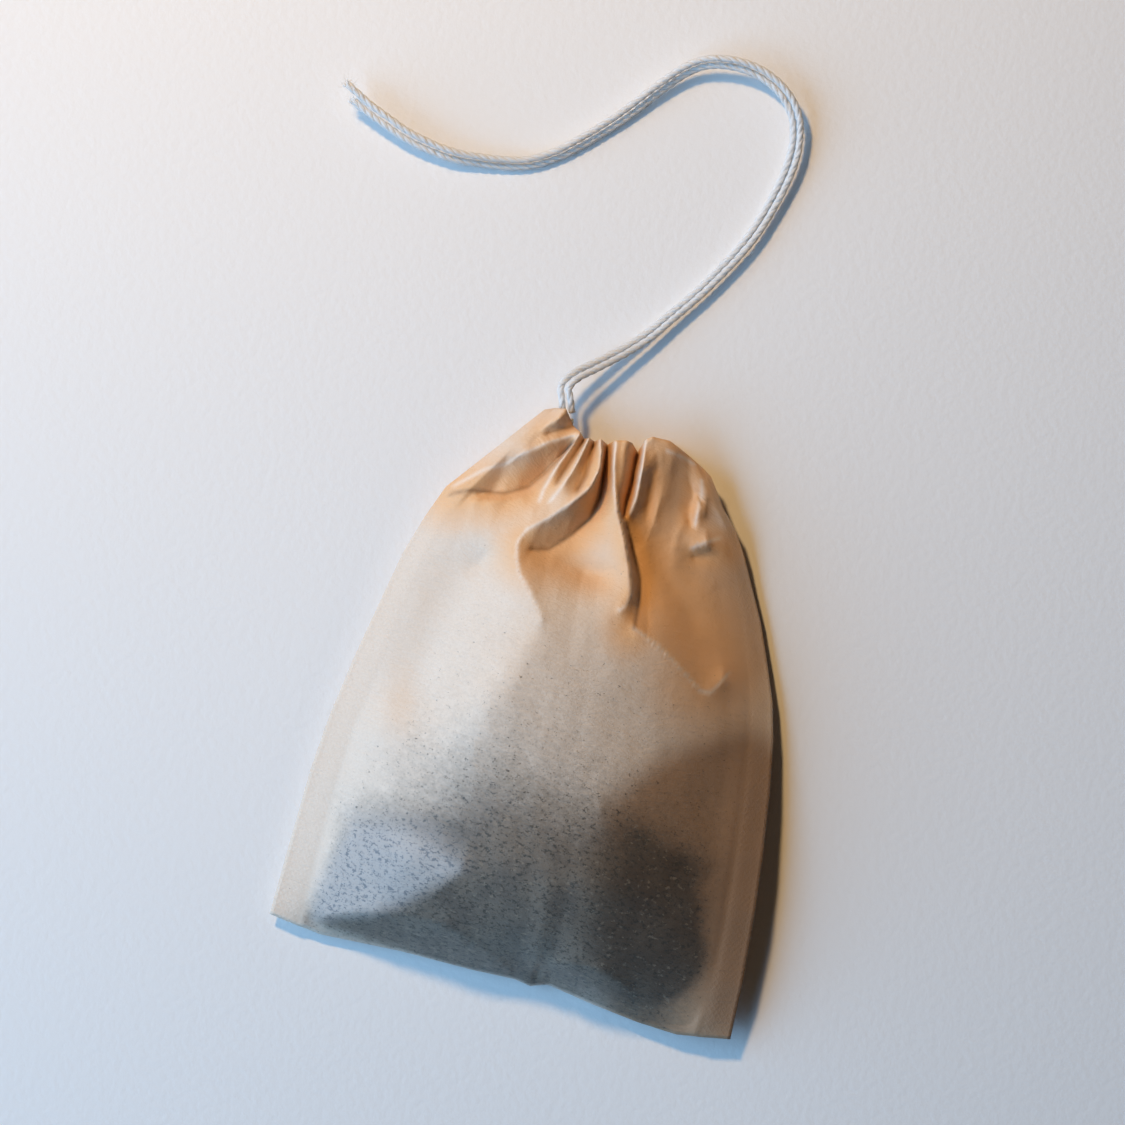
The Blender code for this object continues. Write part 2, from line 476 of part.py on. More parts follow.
def build_tea(plan, layers):
    """The loose tea: what fills the bottom of the bag, clear of the paper all round."""
    _, front_in, back_in, _ = layers
    s, t = column_shares(), row_shares()
    first = max(bisect.bisect_left(list(s), TEA_LEFT), 4)
    last = min(bisect.bisect_right(list(s), TEA_RIGHT) - 1, len(s) - 5)
    bottom, top = 3, bisect.bisect_right(list(t), TEA_TOP)
    across = (s - s[first]) / (s[last] - s[first])
    fill_across = np.clip(1 - np.abs(2 * across - 1) ** TEA_SIDE_POWER, 0.0, 1.0)
    up = np.clip((t - t[bottom]) / (t[top] - t[bottom]), 0.0, 1.0)
    fill_up = np.sqrt(np.clip(1 - up ** TEA_TOP_POWER, 0.0, 1.0))
    fill_up *= np.clip(up * TEA_FOOT_SLOPE + TEA_FOOT, 0.0, 1.0)
    share = TEA_FILL * np.minimum.outer(fill_across, fill_up)
    floor = back_in + CLEARANCE
    roof = front_in - CLEARANCE
    surface = floor + np.maximum(roof - floor, 0.0) * share
    bm = bmesh.new()
    upper = sheet_vertices(bm, plan, surface)
    lower = [[None] * plan.shape[1] for _ in range(plan.shape[0])]
    rim_verts = set()
    for i in range(first, last + 1):
        for j in range(bottom, top + 1):
            if i in (first, last) or j in (bottom, top):
                upper[i][j].co.z = floor[i, j] + TEA_EDGE * max(roof[i, j] - floor[i, j], 0.0)
                lower[i][j] = upper[i][j]
                rim_verts.add(upper[i][j])
            else:
                lower[i][j] = bm.verts.new((*plan[i, j], floor[i, j]))
    sheet_faces(bm, upper, first, last, bottom, top, rim_verts)
    sheet_faces(bm, lower, first, last, bottom, top, rim_verts)
    drop_loose(bm)
    return make_object("tea_leaves", bm, make_material("dried_tea", (0.035, 0.030, 0.022), 0.9))


def build_string(name, points, count):
    """A string as a round tube with capped ends along a smooth curve."""
    curve = bpy.data.curves.new(name, "CURVE")
    curve.dimensions = "3D"
    curve.bevel_depth = STRING_DIAMETER / 2
    curve.bevel_resolution = 2
    curve.use_fill_caps = True
    path = smooth_curve(points, count)
    spline = curve.splines.new("POLY")
    spline.points.add(len(path) - 1)
    for point, place in zip(spline.points, path):
        point.co = (*place, 1.0)
    curve.materials.append(make_material(name + "_cotton", (0.80, 0.79, 0.76), 0.85))
    thing = bpy.data.objects.new(name, curve)
    bpy.context.collection.objects.link(thing)
    return thing


def strand_route(side):
    """One strand of the pair in drawn millimetres: 1 for strand A, -1 for the shorter strand B."""
    middle = np.array(STRING_ROUTE)
    heading = np.gradient(middle[:, :2], axis=0)
    heading /= np.linalg.norm(heading, axis=1)[:, None]
    right = np.stack([heading[:, 1], -heading[:, 0]], axis=-1)
    run = np.concatenate([[0.0], np.cumsum(np.linalg.norm(np.diff(middle, axis=0), axis=1))])
    lean = np.radians(np.interp(run, LEAN_AT, LEAN))
    offset = side * STRANDS_APART / 2
    middle[:, :2] += right * (offset * np.cos(lean))[:, None]
    middle[:, 2] = np.maximum(middle[:, 2] + offset * np.sin(lean), LOWEST)
    return middle if side > 0 else middle[:-1]


def drawn(points):
    """String points keep their drawn size; only their start follows the bag's mouth."""
    mouth = np.array([0.0, BAG_LENGTH - DRAWN_LENGTH * MM, 0.0])
    return np.array(points) * MM + mouth


def centre_on_origin(things, bag):
    """Put the middle of the bag's box over the origin, resting at height 0."""
    corners = np.array([v.co for v in bag.data.vertices])
    low, high = corners.min(axis=0), corners.max(axis=0)
    shift = Vector((-(low[0] + high[0]) / 2, -(low[1] + high[1]) / 2, -low[2]))
    for thing in things:
        thing.location = shift


def main():
    clear_scene()
    plan, *layers = panels()
    bag = build_bag(plan, layers)
    things = [bag, build_tea(plan, layers),
              build_string("drawstring_hem_loop", scaled(HEM_LOOP), LOOP_POINTS),
              build_string("drawstring_strand_a", drawn(strand_route(1)), STRING_POINTS),
              build_string("drawstring_strand_b", drawn(strand_route(-1)), STRING_POINTS)]
    centre_on_origin(things, bag)


main()
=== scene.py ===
"""The looks of a drawstring tea bag: filter paper, the tea behind it and a plied cotton string.

The bag lies on its back panel, X across it, Y from the bottom fold to the gathered mouth.
Fold lines and the string's route are written in millimetres as drawn, with the drawing's
origin in the middle of the bottom fold, and are then brought to the frame's own place.
"""

import math

import bmesh
import bpy
import numpy as np
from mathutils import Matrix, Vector, noise


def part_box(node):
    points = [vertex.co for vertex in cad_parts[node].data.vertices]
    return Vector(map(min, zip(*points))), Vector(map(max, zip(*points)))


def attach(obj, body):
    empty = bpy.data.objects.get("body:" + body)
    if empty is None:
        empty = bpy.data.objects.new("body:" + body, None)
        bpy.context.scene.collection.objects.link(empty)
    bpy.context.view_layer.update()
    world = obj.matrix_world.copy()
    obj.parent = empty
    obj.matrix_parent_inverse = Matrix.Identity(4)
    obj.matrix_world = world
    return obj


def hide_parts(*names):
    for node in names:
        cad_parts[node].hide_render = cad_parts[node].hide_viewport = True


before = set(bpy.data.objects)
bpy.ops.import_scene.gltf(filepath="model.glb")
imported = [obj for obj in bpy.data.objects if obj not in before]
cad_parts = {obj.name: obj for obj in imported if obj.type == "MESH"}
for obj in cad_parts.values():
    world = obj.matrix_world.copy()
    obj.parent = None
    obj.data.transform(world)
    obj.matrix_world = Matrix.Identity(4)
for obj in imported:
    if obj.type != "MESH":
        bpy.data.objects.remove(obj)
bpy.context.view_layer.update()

MM = 0.001

# The photograph's framing: its scale, its turn, where the drawing's origin lies in it, and how
# high the camera looks from
PHOTO_PIXELS = 1125
MM_PER_PIXEL = 0.145
PHOTO_TURN = math.radians(15.1)
ORIGIN_PIXEL = (500.0, 974.0)
CAMERA_HEIGHT = 0.46

# The string: its plies, whose radius is a share of its diameter, their twist and the frayed end
STRING_DIAMETER = 0.00105
PLIES = 3
PLY_SHARE = 0.33
TWIST_PITCH = 0.0040
FRAY_LENGTH = 0.0022
STRAND_A_LENGTH = 0.1343
STRAND_B_LENGTH = 0.1321
# Spacing of the plies' rings along the strands and along the loop in the hem
STRAND_STEP = 0.00025
LOOP_STEP = 0.0005
# How the plies stray from a true twist: how often, and how far in turn, place and thickness
WOBBLES_PER_METRE = 900.0
WOBBLE_TURN = 0.5
WOBBLE_PLACE = 0.10
WOBBLE_THICKNESS = 0.06
# Where the plies fray they grow thinner, spread out and carry more loose fibres, by these shares
FRAY_THINS = 0.45
FRAY_SPREADS = 1.6
FRAY_CROWDS = 14.0
# The loose fibres over it: how many to a square metre, their size and how low they may hang
FIBRES_PER_AREA = 1.1e6
FIBRE_LENGTH = 0.0016
FIBRE_THICKNESS = 0.000011
LOWEST_FIBRE = 0.00003

# The paper, as it was cut and sewn flat
FLAT_WIDTH = 0.070
FLAT_LENGTH = 0.090
WALL = 0.00012
HEM_WALL = 0.00026
HEM_HEIGHT = 0.0080
SIDE_SEAL = 0.0045
# How far the front rises across each side's seal, and the least room between front and back
LEFT_SEAM_RISE = 0.0024
RIGHT_SEAM_RISE = 0.0031
SMALLEST_GAP = 0.0003
# Cells of the mesh across the paper, those of them on each seal, and cells along the paper
COLUMNS = 148
SEAM_COLUMNS = 8
ROWS = 142
# How far round a fold line the mesh points that could lie on it are looked for
FOLD_MARGIN = 0.0008
# The sheet's UV map is in centimetres
UV_PER_METRE = 100

# Outline of the bag in millimetres: x, y and height of the seam or edge
LEFT_SEAM = [(-34.4, 0.0, 2.0), (-34.3, 10.0, 2.2), (-34.1, 21.8, 2.5), (-33.5, 29.7, 2.6),
             (-32.3, 38.6, 2.7), (-30.9, 46.7, 2.9), (-29.4, 55.2, 3.2), (-27.7, 61.0, 3.7),
             (-25.8, 66.1, 4.6), (-22.3, 70.7, 5.4), (-19.0, 75.1, 5.4), (-16.8, 78.1, 4.9),
             (-15.0, 80.5, 4.4)]
RIGHT_SEAM = [(34.4, 0.0, 3.2), (33.9, 8.0, 4.6), (32.9, 18.6, 5.2), (31.9, 26.8, 4.8),
              (30.6, 35.7, 3.8), (29.2, 43.1, 2.8), (27.7, 48.4, 2.1), (25.6, 53.5, 1.7),
              (23.1, 59.1, 1.5), (20.3, 64.1, 1.8), (18.2, 67.8, 2.4), (16.2, 70.8, 3.0),
              (13.6, 73.4, 3.4), (11.9, 75.7, 3.8), (10.6, 77.4, 4.2)]
BOTTOM_FOLD = [(-34.4, 0.0, 1.4), (-26.6, -1.0, 1.5), (-14.8, -0.3, 1.7), (-4.1, -0.2, 1.9),
               (2.2, 0.1, 1.9), (4.6, -0.3, 1.8), (7.0, 0.6, 2.0), (13.6, -0.4, 2.2),
               (20.9, -1.2, 2.5), (26.7, -1.4, 2.8), (34.4, 0.0, 3.2)]
# The gathered rim: x, y, front height, back height and share of the paper's width,
# and which of those its two heights are
FRONT_HEIGHT, BACK_HEIGHT = 2, 3
RIM = [(-15.0, 80.5, 4.5, 4.3, 0.0), (-13.6, 81.1, 4.9, 4.1, 0.066), (-12.0, 81.3, 7.4, 1.6, 0.12),
       (-10.4, 79.3, 5.3, 1.4, 0.18), (-9.2, 78.6, 7.2, 1.7, 0.25), (-8.4, 77.9, 5.5, 1.4, 0.30),
       (-7.7, 78.1, 7.8, 1.6, 0.35), (-6.9, 77.9, 5.4, 1.3, 0.40), (-6.1, 78.4, 8.2, 1.6, 0.45),
       (-5.0, 78.0, 4.7, 1.3, 0.51), (-4.0, 78.7, 8.4, 1.5, 0.57), (-2.6, 79.1, 8.6, 1.6, 0.63),
       (-1.6, 79.0, 8.0, 1.5, 0.67), (-0.5, 78.1, 4.4, 1.3, 0.71), (0.1, 80.0, 8.6, 1.4, 0.76),
       (0.9, 80.6, 8.8, 1.6, 0.79), (3.5, 80.7, 7.7, 1.4, 0.85), (6.1, 79.7, 6.6, 1.6, 0.90),
       (9.0, 78.4, 4.6, 3.8, 0.934), (10.6, 77.4, 4.3, 4.1, 1.0)]

# Crisp folds of the front panel in millimetres: x, y and height along each line
CRISP_FOLDS = {
    "flap_ridge": [(-24.6, 66.6, 5.8), (-20.9, 70.0, 6.7), (-18.5, 71.3, 7.2), (-16.6, 73.2, 7.6),
                   (-13.2, 76.0, 7.4), (-9.9, 78.0, 6.9)],
    "flap_valley": [(-24.8, 65.3, 5.2), (-22.3, 66.5, 5.4), (-17.4, 67.4, 6.1),
                    (-14.4, 69.1, 5.9), (-12.7, 71.5, 5.2), (-11.1, 74.4, 5.0), (-9.6, 77.2, 4.9)],
    "flap_roll": [(-22.6, 65.2, 6.9), (-19.0, 65.8, 7.7), (-15.4, 66.9, 8.0), (-13.0, 68.9, 8.1)],
    "tip_ridge": [(-16.2, 76.7, 6.4), (-14.4, 78.3, 7.4), (-12.7, 79.4, 8.2), (-12.0, 81.0, 7.5)],
    "tip_valley": [(-13.8, 77.2, 6.6), (-11.8, 78.4, 6.4), (-10.5, 79.1, 5.5)],
    "pleat_1": [(-9.2, 78.2, 7.2), (-10.4, 74.8, 8.6), (-11.4, 71.9, 9.2), (-12.1, 69.3, 9.7),
                (-12.2, 67.6, 9.8)],
    "valley_1": [(-8.4, 77.6, 5.6), (-9.0, 75.5, 7.0), (-9.8, 72.9, 8.0), (-10.5, 70.7, 8.9)],
    "pleat_2": [(-7.7, 78.0, 7.8), (-8.2, 75.4, 9.2), (-8.8, 72.6, 10.0), (-10.0, 69.5, 10.6),
                (-10.8, 67.8, 10.5)],
    "valley_2": [(-6.9, 77.7, 5.5), (-6.9, 75.5, 7.0), (-6.8, 72.6, 8.4), (-7.4, 70.4, 9.8)],
    "puff_edge": [(-6.1, 78.2, 8.2), (-5.5, 76.5, 9.2), (-5.1, 74.2, 10.2), (-5.7, 71.3, 11.2),
                  (-7.7, 68.5, 11.8), (-10.3, 65.5, 11.5), (-12.9, 63.2, 11.0),
                  (-13.7, 61.2, 11.3), (-13.3, 59.2, 11.9), (-12.2, 56.8, 13.1),
                  (-10.2, 54.9, 14.4), (-8.1, 52.5, 15.7), (-7.3, 51.0, 16.4)],
    "band_valley": [(-4.9, 77.6, 4.8), (-4.4, 73.7, 5.4), (-4.0, 70.4, 6.2), (-4.6, 67.1, 7.4),
                    (-6.5, 64.3, 8.4), (-9.2, 61.3, 9.3), (-11.6, 60.7, 10.2)],
    "middle_ridge": [(-3.9, 78.4, 8.4), (-3.3, 75.0, 9.6), (-2.5, 72.2, 10.4), (-1.0, 68.8, 11.3),
                     (1.2, 64.6, 12.6), (2.8, 60.8, 13.4), (3.7, 58.1, 13.9), (3.5, 56.5, 14.3),
                     (2.6, 55.5, 14.7)],
    "middle_foot": [(0.5, 67.9, 8.0), (2.2, 64.6, 7.6), (4.4, 60.7, 8.5), (5.1, 57.5, 10.5),
                    (5.3, 53.7, 14.8)],
    "crack": [(-0.5, 77.8, 4.5), (-0.2, 74.2, 4.6), (-0.2, 70.2, 5.8), (-0.1, 68.4, 7.7)],
    "right_ridge": [(0.1, 79.8, 8.6), (0.6, 76.0, 9.8), (0.9, 71.6, 10.0), (0.6, 69.2, 9.3)],
    "hem_crease": [(3.5, 79.2, 7.9), (5.7, 79.0, 7.0), (7.8, 78.5, 5.8)],
    "sliver": [(9.4, 76.6, 5.9), (9.9, 75.0, 6.2), (10.1, 69.9, 6.2)],
    "sliver_foot": [(8.5, 76.4, 5.0), (8.9, 74.6, 5.0), (9.2, 70.0, 5.0)],
    "slit": [(10.9, 74.4, 4.8), (11.3, 71.5, 4.8)],
    "shoulder_ridge": [(10.6, 66.8, 7.4), (12.6, 68.4, 7.8), (14.2, 69.2, 6.2)],
    "shoulder_foot": [(10.9, 65.6, 6.2), (13.2, 66.5, 5.9), (15.0, 67.2, 5.1)],
    "dent_edge": [(5.3, 53.7, 14.8), (9.9, 51.8, 14.1), (13.9, 49.4, 12.7), (16.8, 47.5, 11.2),
                  (18.5, 47.7, 10.4), (20.1, 50.8, 8.3)],
    "bottom_ridge": [(-27.6, 1.4, 3.6), (-23.0, 3.9, 7.1), (-19.6, 4.9, 8.8), (-14.3, 6.2, 10.7),
                     (-9.2, 5.8, 10.6), (-6.4, 5.2, 9.9), (-0.5, 2.4, 6.0), (1.6, 1.2, 3.8)],
    "dimple": [(4.9, 1.4, 3.0), (5.2, 2.8, 4.6)],
    "bottom_ridge_right": [(7.0, 4.6, 9.0), (9.8, 5.4, 10.4), (13.4, 5.6, 10.4), (18.3, 3.6, 7.5)],
    "apex_fall": [(-9.0, 15.1, 16.1), (-11.4, 11.0, 14.0), (-14.3, 6.2, 10.7)],
    "roof_crease": [(-12.1, 31.9, 16.6), (-9.9, 23.5, 16.4), (-9.0, 15.1, 16.1)],
    "turn_edge": [(4.6, 36.5, 17.1), (6.0, 32.0, 17.3), (7.5, 27.3, 17.4)],
}
# Broad swells and hollows, which have no crease along them
SOFT_FOLDS = {
    "second_pleat": [(-2.6, 78.8, 8.6), (-2.0, 75.9, 9.0), (-1.3, 72.3, 9.2)],
    "right_valley": [(2.8, 77.5, 7.3), (2.7, 75.1, 7.2), (2.7, 71.8, 7.1), (3.0, 69.4, 7.2)],
    "crest": [(-7.3, 51.0, 16.4), (-5.5, 52.7, 15.5), (-3.7, 53.7, 15.0), (-1.2, 54.4, 14.8),
              (1.9, 54.7, 14.8)],
    "dent_floor": [(5.4, 63.6, 7.6), (11.1, 59.2, 7.5), (15.4, 54.3, 7.6), (17.4, 50.3, 8.8)],
    "bowl_floor": [(-7.2, 59.9, 9.7), (-3.4, 59.5, 9.5), (-0.4, 59.5, 10.3)],
    "roof_ridge": [(-7.3, 51.0, 16.4), (-10.6, 42.0, 17.4), (-12.8, 36.8, 17.1), (-12.1, 31.9, 16.6)],
    "patch_edge": [(-17.6, 58.0, 8.0), (-21.3, 50.7, 7.0), (-22.2, 37.7, 7.4), (-22.3, 34.2, 7.7)],
    "star_crease": [(-27.6, 30.4, 8.2), (-25.4, 32.2, 8.7), (-22.6, 34.0, 9.2)],
    "fold_band": [(7.5, 27.3, 17.4), (10.8, 33.3, 16.1), (14.6, 37.7, 14.0), (19.0, 41.0, 11.3),
                  (25.0, 44.2, 6.9)],
    "tea_crown": [(-18.7, 13.6, 13.4), (-9.0, 15.1, 16.1), (1.6, 16.4, 17.3), (9.5, 17.8, 17.3),
                  (15.0, 18.6, 15.0), (20.0, 19.0, 12.6)],
    "right_shoulder": [(21.5, 9.0, 9.9), (23.0, 16.0, 11.1), (22.8, 26.0, 10.7), (21.2, 34.0, 9.8)],
    "flat_corner": [(23.5, 4.0, 6.4), (27.5, 5.0, 6.2), (31.0, 8.0, 6.8)],
    "tuck_top": [(-3.0, 6.6, 11.1), (3.6, 7.0, 11.4), (7.2, 6.4, 11.0)],
    "front_swell": [(-4.0, 10.0, 13.5), (3.0, 10.0, 13.8), (8.0, 10.0, 13.6), (13.0, 10.0, 12.8)],
}
# Shallow pleats of the back panel
BACK_FOLDS = {
    "back_pleat_1": [(-6.0, 77.0, 1.8), (-5.0, 66.0, 1.4), (-4.0, 56.0, 0.6)],
    "back_pleat_2": [(2.5, 77.5, 1.8), (3.0, 64.0, 1.3), (4.0, 52.0, 0.6)],
    "back_valley_1": [(-9.0, 77.0, 1.0), (-10.0, 64.0, 0.6), (-11.0, 50.0, 0.4)],
    "back_valley_2": [(-1.0, 77.0, 1.0), (-0.6, 64.0, 0.5), (0.0, 50.0, 0.4)],
    "back_valley_3": [(7.0, 77.0, 1.0), (9.0, 64.0, 0.6), (12.0, 50.0, 0.4)],
}
# The flat patch that the bag lies on, at height 0
REST_PATCH = [(-16.0, 6.0), (17.0, 6.0), (21.0, 14.0), (16.0, 30.0), (-16.0, 30.0), (-20.0, 14.0)]
# The outline of the tea in plan
TEA_OUTLINE = [(-28.3, 0.2), (-29.0, 1.0), (-27.9, 8.7), (-26.8, 17.1), (-24.5, 19.5), (-19.6, 22.6),
               (-11.7, 26.7), (-2.3, 30.8), (6.5, 31.6), (12.5, 29.5), (16.9, 26.5), (21.5, 26.2),
               (23.3, 24.9), (25.3, 24.2), (24.6, 21.9), (24.6, 20.2), (25.8, 17.3), (26.0, 15.1),
               (27.6, 12.5), (28.0, 9.3), (27.0, 5.8), (25.2, 2.9), (22.1, 0.6), (17.7, 1.0),
               (11.6, 1.6), (5.8, 1.0), (3.5, -0.1), (-0.1, 0.3), (-10.5, 0.0), (-19.5, -0.2)]
# How much tea and dust show at heights up the bag
DUST_AT = (12.0, 15.4, 19.6, 23.8, 28.0, 32.2, 36.4, 40.0, 46.0, 54.0)
DUST = (1.0, 1.0, 0.92, 0.79, 0.62, 0.43, 0.31, 0.25, 0.20, 0.10)
# Painted shade: where the paper falls away to the right, and right of the mouth, its tan is darkened to
# stand in for the shade there
SHADED_SIDE = [(7.6, 28.0), (10.8, 33.3), (14.6, 37.7), (19.0, 41.0), (25.0, 44.2), (32.0, 42.0),
             (37.0, 0.0), (36.0, -3.0), (17.0, -3.0), (12.0, 8.0), (9.0, 20.0)]
SHADED_MOUTH = [(0.0, 80.5), (1.2, 70.0), (4.2, 62.0), (5.6, 54.4), (14.0, 50.0), (18.5, 48.6),
              (24.0, 50.0), (27.0, 54.0), (20.0, 67.0), (11.0, 79.0)]
# The swollen lower left of the front, which faces the window, shows less tea and takes a painted sheen of
# the window's light
PALE_PATCH = [(-26.3, 16.9), (-20.7, 18.9), (-14.7, 18.2), (-8.9, 14.9), (-13.5, 10.5), (-16.7, 6.9),
              (-19.6, 4.8), (-24.1, 2.8), (-28.4, 0.8), (-28.8, 6.4), (-27.5, 11.5)]
# Painted glow: folds whose shade is painted amber, standing in for light passed through the paper: name,
# reach in millimetres and strength
PAINTED_GLOW_ZONES = (("flap_valley", 7.0, 1.0), ("flap_roll", 6.0, 0.85), ("band_valley", 7.5, 1.0),
               ("middle_foot", 6.0, 1.0), ("bowl_floor", 5.0, 0.8), ("dent_floor", 11.0, 0.9),
               ("crack", 3.5, 1.0), ("right_valley", 6.0, 0.9), ("sliver_foot", 4.0, 0.9),
               ("tip_valley", 4.0, 0.8), ("shoulder_foot", 4.5, 1.0), ("valley_1", 3.0, 0.8),
               ("valley_2", 3.0, 0.8), ("hem_crease", 6.0, 0.8), ("right_ridge", 5.0, 0.5))
# Folds painted pale along their ridges, as painted highlight with some wear whitening, folds
# painted dark along their valleys as painted shade, and how far from them each is seen
WORN_AND_HIGHLIGHTED_FOLDS = ("puff_edge", "middle_ridge", "right_ridge", "dent_edge", "sliver", "flap_ridge",
              "pleat_1", "pleat_2", "hem_crease", "shoulder_ridge")
HIGHLIGHT_REACH = 0.00045
# Valleys painted dark along their line: painted shade in the creases
SHADED_CREASES = ("flap_valley", "tip_valley", "valley_1", "valley_2", "band_valley", "crack", "slit",
                 "middle_foot", "dimple")
CREASE_SHADE_REACH = 0.0005
# The pressure that swells the front between its folds
PRESSURE = 60.0
# How far up the bag its gathers start, which stay sharper than the rest
GATHER_FROM = 0.0565
# Rounds of softening: between folds below the gathers, away from crisp folds, beside the seals,
# and on the back; and the columns from a seal's inner edge that count as beside it, out and in
SOFTEN_BODY = 40
SOFTEN_FRONT = 5
SOFTEN_SEALS = 16
SOFTEN_BACK = 12
BESIDE_OUT, BESIDE_IN = 4, 7
# Shallow wrinkles all over: seed, wrinkles to a metre and height
WRINKLES = ((3.7, 130.0, 0.00012), (9.1, 500.0, 0.00003))
# Columns over which the wrinkles set in beside a seal
WRINKLES_OVER = 5
# Creases of squeezed paper near the mouth: where they start, the length over which they set in,
# how close they lie and how high they stand
CREASED_FROM = 0.060
CREASED_OVER = 0.010
CREASES_PER_METRE = 170.0
CREASE_HEIGHT = 0.00060
# How wide the edge of a seam's or the hem's second layer is seen
LAYER_EDGE = 0.0003

# The heap of tea: its room below and above, the share of that room it fills, its thin edge, its
# lumps, and the bits of leaf strewn over it
TEA_OVER_BACK = 0.0004
TEA_UNDER_FRONT = 0.0005
TEA_FILLS = 0.9
TEA_EDGE = 0.0002
TEA_LUMPS = 0.0004
LUMPS_PER_METRE = 500
LEAF_BITS_PER_AREA = 7.0e5
LEAF_BIT_LENGTH = 0.0009

# The string's route in millimetres: the loop in the hem, then the free strands
HEM_LOOP = [(-11.1, 80.2, 4.0), (-10.6, 78.0, 3.6), (-9.0, 76.2, 3.2), (-5.0, 75.2, 3.0),
            (0.0, 75.4, 3.0), (3.8, 76.1, 3.0), (5.8, 75.6, 3.1), (5.9, 73.9, 3.1),
            (4.0, 73.1, 3.0), (0.0, 72.6, 3.0), (-4.0, 72.2, 3.0), (-8.0, 72.8, 3.2),
            (-11.0, 74.8, 3.6), (-12.2, 77.4, 4.2), (-12.4, 80.3, 4.4)]
# The middle line of the pair of strands, the millimetres run at which strand A leans over
# strand B by so many degrees, how far apart their middles are and the lowest either may lie
STRING_ROUTE = [(-11.7, 80.9, 4.2), (-12.4, 82.7, 4.8), (-13.0, 84.5, 4.9), (-11.8, 86.5, 4.4),
                (-9.4, 88.7, 3.4), (-6.2, 91.7, 2.2), (-3.4, 94.8, 1.5), (-0.8, 98.5, 1.2),
                (2.2, 102.9, 1.1), (5.1, 107.9, 1.1), (7.4, 112.7, 1.1), (9.0, 117.9, 1.1),
                (10.0, 123.0, 1.4), (10.0, 127.1, 1.7), (8.9, 130.8, 2.2), (6.4, 133.6, 2.7),
                (2.9, 135.3, 3.0), (-0.8, 135.8, 3.1), (-4.8, 135.2, 2.9), (-7.9, 133.4, 2.3),
                (-11.1, 129.8, 1.7), (-15.5, 124.2, 1.2), (-20.2, 119.2, 1.1),
                (-23.4, 116.4, 1.1), (-26.8, 114.4, 1.1), (-30.6, 113.4, 1.3),
                (-33.9, 112.9, 1.6), (-37.4, 112.6, 2.0), (-40.9, 112.9, 2.3),
                (-44.5, 113.6, 2.6), (-47.7, 114.7, 2.9), (-50.6, 115.8, 3.1),
                (-53.4, 117.1, 3.3), (-55.2, 118.0, 3.4)]
LEAN_AT = (0.0, 6.0, 12.0, 30.0, 50.0, 70.0, 90.0, 110.0, 135.0)
LEAN = (20.0, 38.0, 45.0, 50.0, 42.0, 52.0, 44.0, 50.0, 30.0)
STRANDS_APART = 1.38
LOWEST = 0.6

# Colours of the paper: its mottle, clouds, fibres, specks and pulp
PAPER_DULL, PAPER_BRIGHT = (0.81, 0.69, 0.57), (0.86, 0.75, 0.64)
PAPER_CLOUD = (0.78, 0.65, 0.52)
PALE_FIBRE = (0.92, 0.83, 0.72)
DARK_SPECK = (0.20, 0.13, 0.08)
PULP_SHADE = (0.60, 0.50, 0.40)
# Tints laid over it in turn, each by its strength: painted shade where the paper falls away, the
# hem's two layers, amber painted for light passed through the gathers, the seams' two layers,
# painted highlight with some wear whitening on ridges, and painted shade in creases
TINTS = (("painted_shade", 0.94, (0.45, 0.28, 0.165)), ("hem", 0.24, (0.82, 0.60, 0.40)),
         ("painted_glow", 0.92, (0.88, 0.52, 0.25)), ("seam", 0.06, (0.76, 0.62, 0.48)),
         ("ridge_highlight", 0.55, (0.95, 0.90, 0.84)), ("crease_shade", 0.75, (0.36, 0.20, 0.10)))
# Painted sheen of the cool window on the swollen patch
PAINTED_WINDOW_SHEEN = (0.48, 0.58, 0.72)
# Light that comes through bare paper, and through paper with tea behind it
THROUGH_PAPER, THROUGH_TEA = (1.0, 0.72, 0.44), (0.12, 0.10, 0.07)
# The tea as it shows through the paper, darker where shade is painted, with its stalks, grains and pits
BEHIND_DARK, BEHIND_LIGHT = (0.100, 0.084, 0.068), (0.165, 0.136, 0.104)
BEHIND_IN_SHADE = (0.052, 0.042, 0.033)
STALK = (0.30, 0.25, 0.19)
GRAIN = (0.050, 0.048, 0.040)
PIT = (0.05, 0.05, 0.045)
# The tea itself
HEAP_DARK, HEAP_PALE = (0.020, 0.017, 0.012), (0.070, 0.060, 0.036)
LEAF_DARK, LEAF_PALE = (0.030, 0.024, 0.015), (0.110, 0.085, 0.045)
# Cotton, and the surface below the bag
COTTON_DULL, COTTON_BRIGHT = (0.93, 0.93, 0.925), (0.985, 0.985, 0.98)
COTTON_SHADE = (0.88, 0.87, 0.85)
FIBRE_WHITE = (0.95, 0.95, 0.94)
FLOOR_WHITE = (0.86, 0.86, 0.86)

# The drawing's place in the frame: its outline's lowest corner is the paper node's
BAG_LOW, BAG_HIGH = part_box("filter_bag")
DRAWN_LOW = (min(p[0] for p in LEFT_SEAM), min(p[1] for p in BOTTOM_FOLD))
SHIFT = np.array([BAG_LOW[0] - DRAWN_LOW[0] * MM, BAG_LOW[1] - DRAWN_LOW[1] * MM, 0.0])


def placed(points):
    """Bring drawn millimetres into the frame."""
    return np.array([p[:3] for p in points], dtype=float) * MM + SHIFT


def photo_step(dx, dy):
    """A step right and down in the photograph, as a step in the frame's plan."""
    return Vector((dx * math.cos(PHOTO_TURN) + dy * math.sin(PHOTO_TURN),
                   dx * math.sin(PHOTO_TURN) - dy * math.cos(PHOTO_TURN), 0.0))


def pixel_to_frame(px, py):
    """Where a pixel of the photograph lies on the surface, in the frame."""
    step = photo_step(px - ORIGIN_PIXEL[0], py - ORIGIN_PIXEL[1])
    return step * MM_PER_PIXEL * MM + Vector(SHIFT)


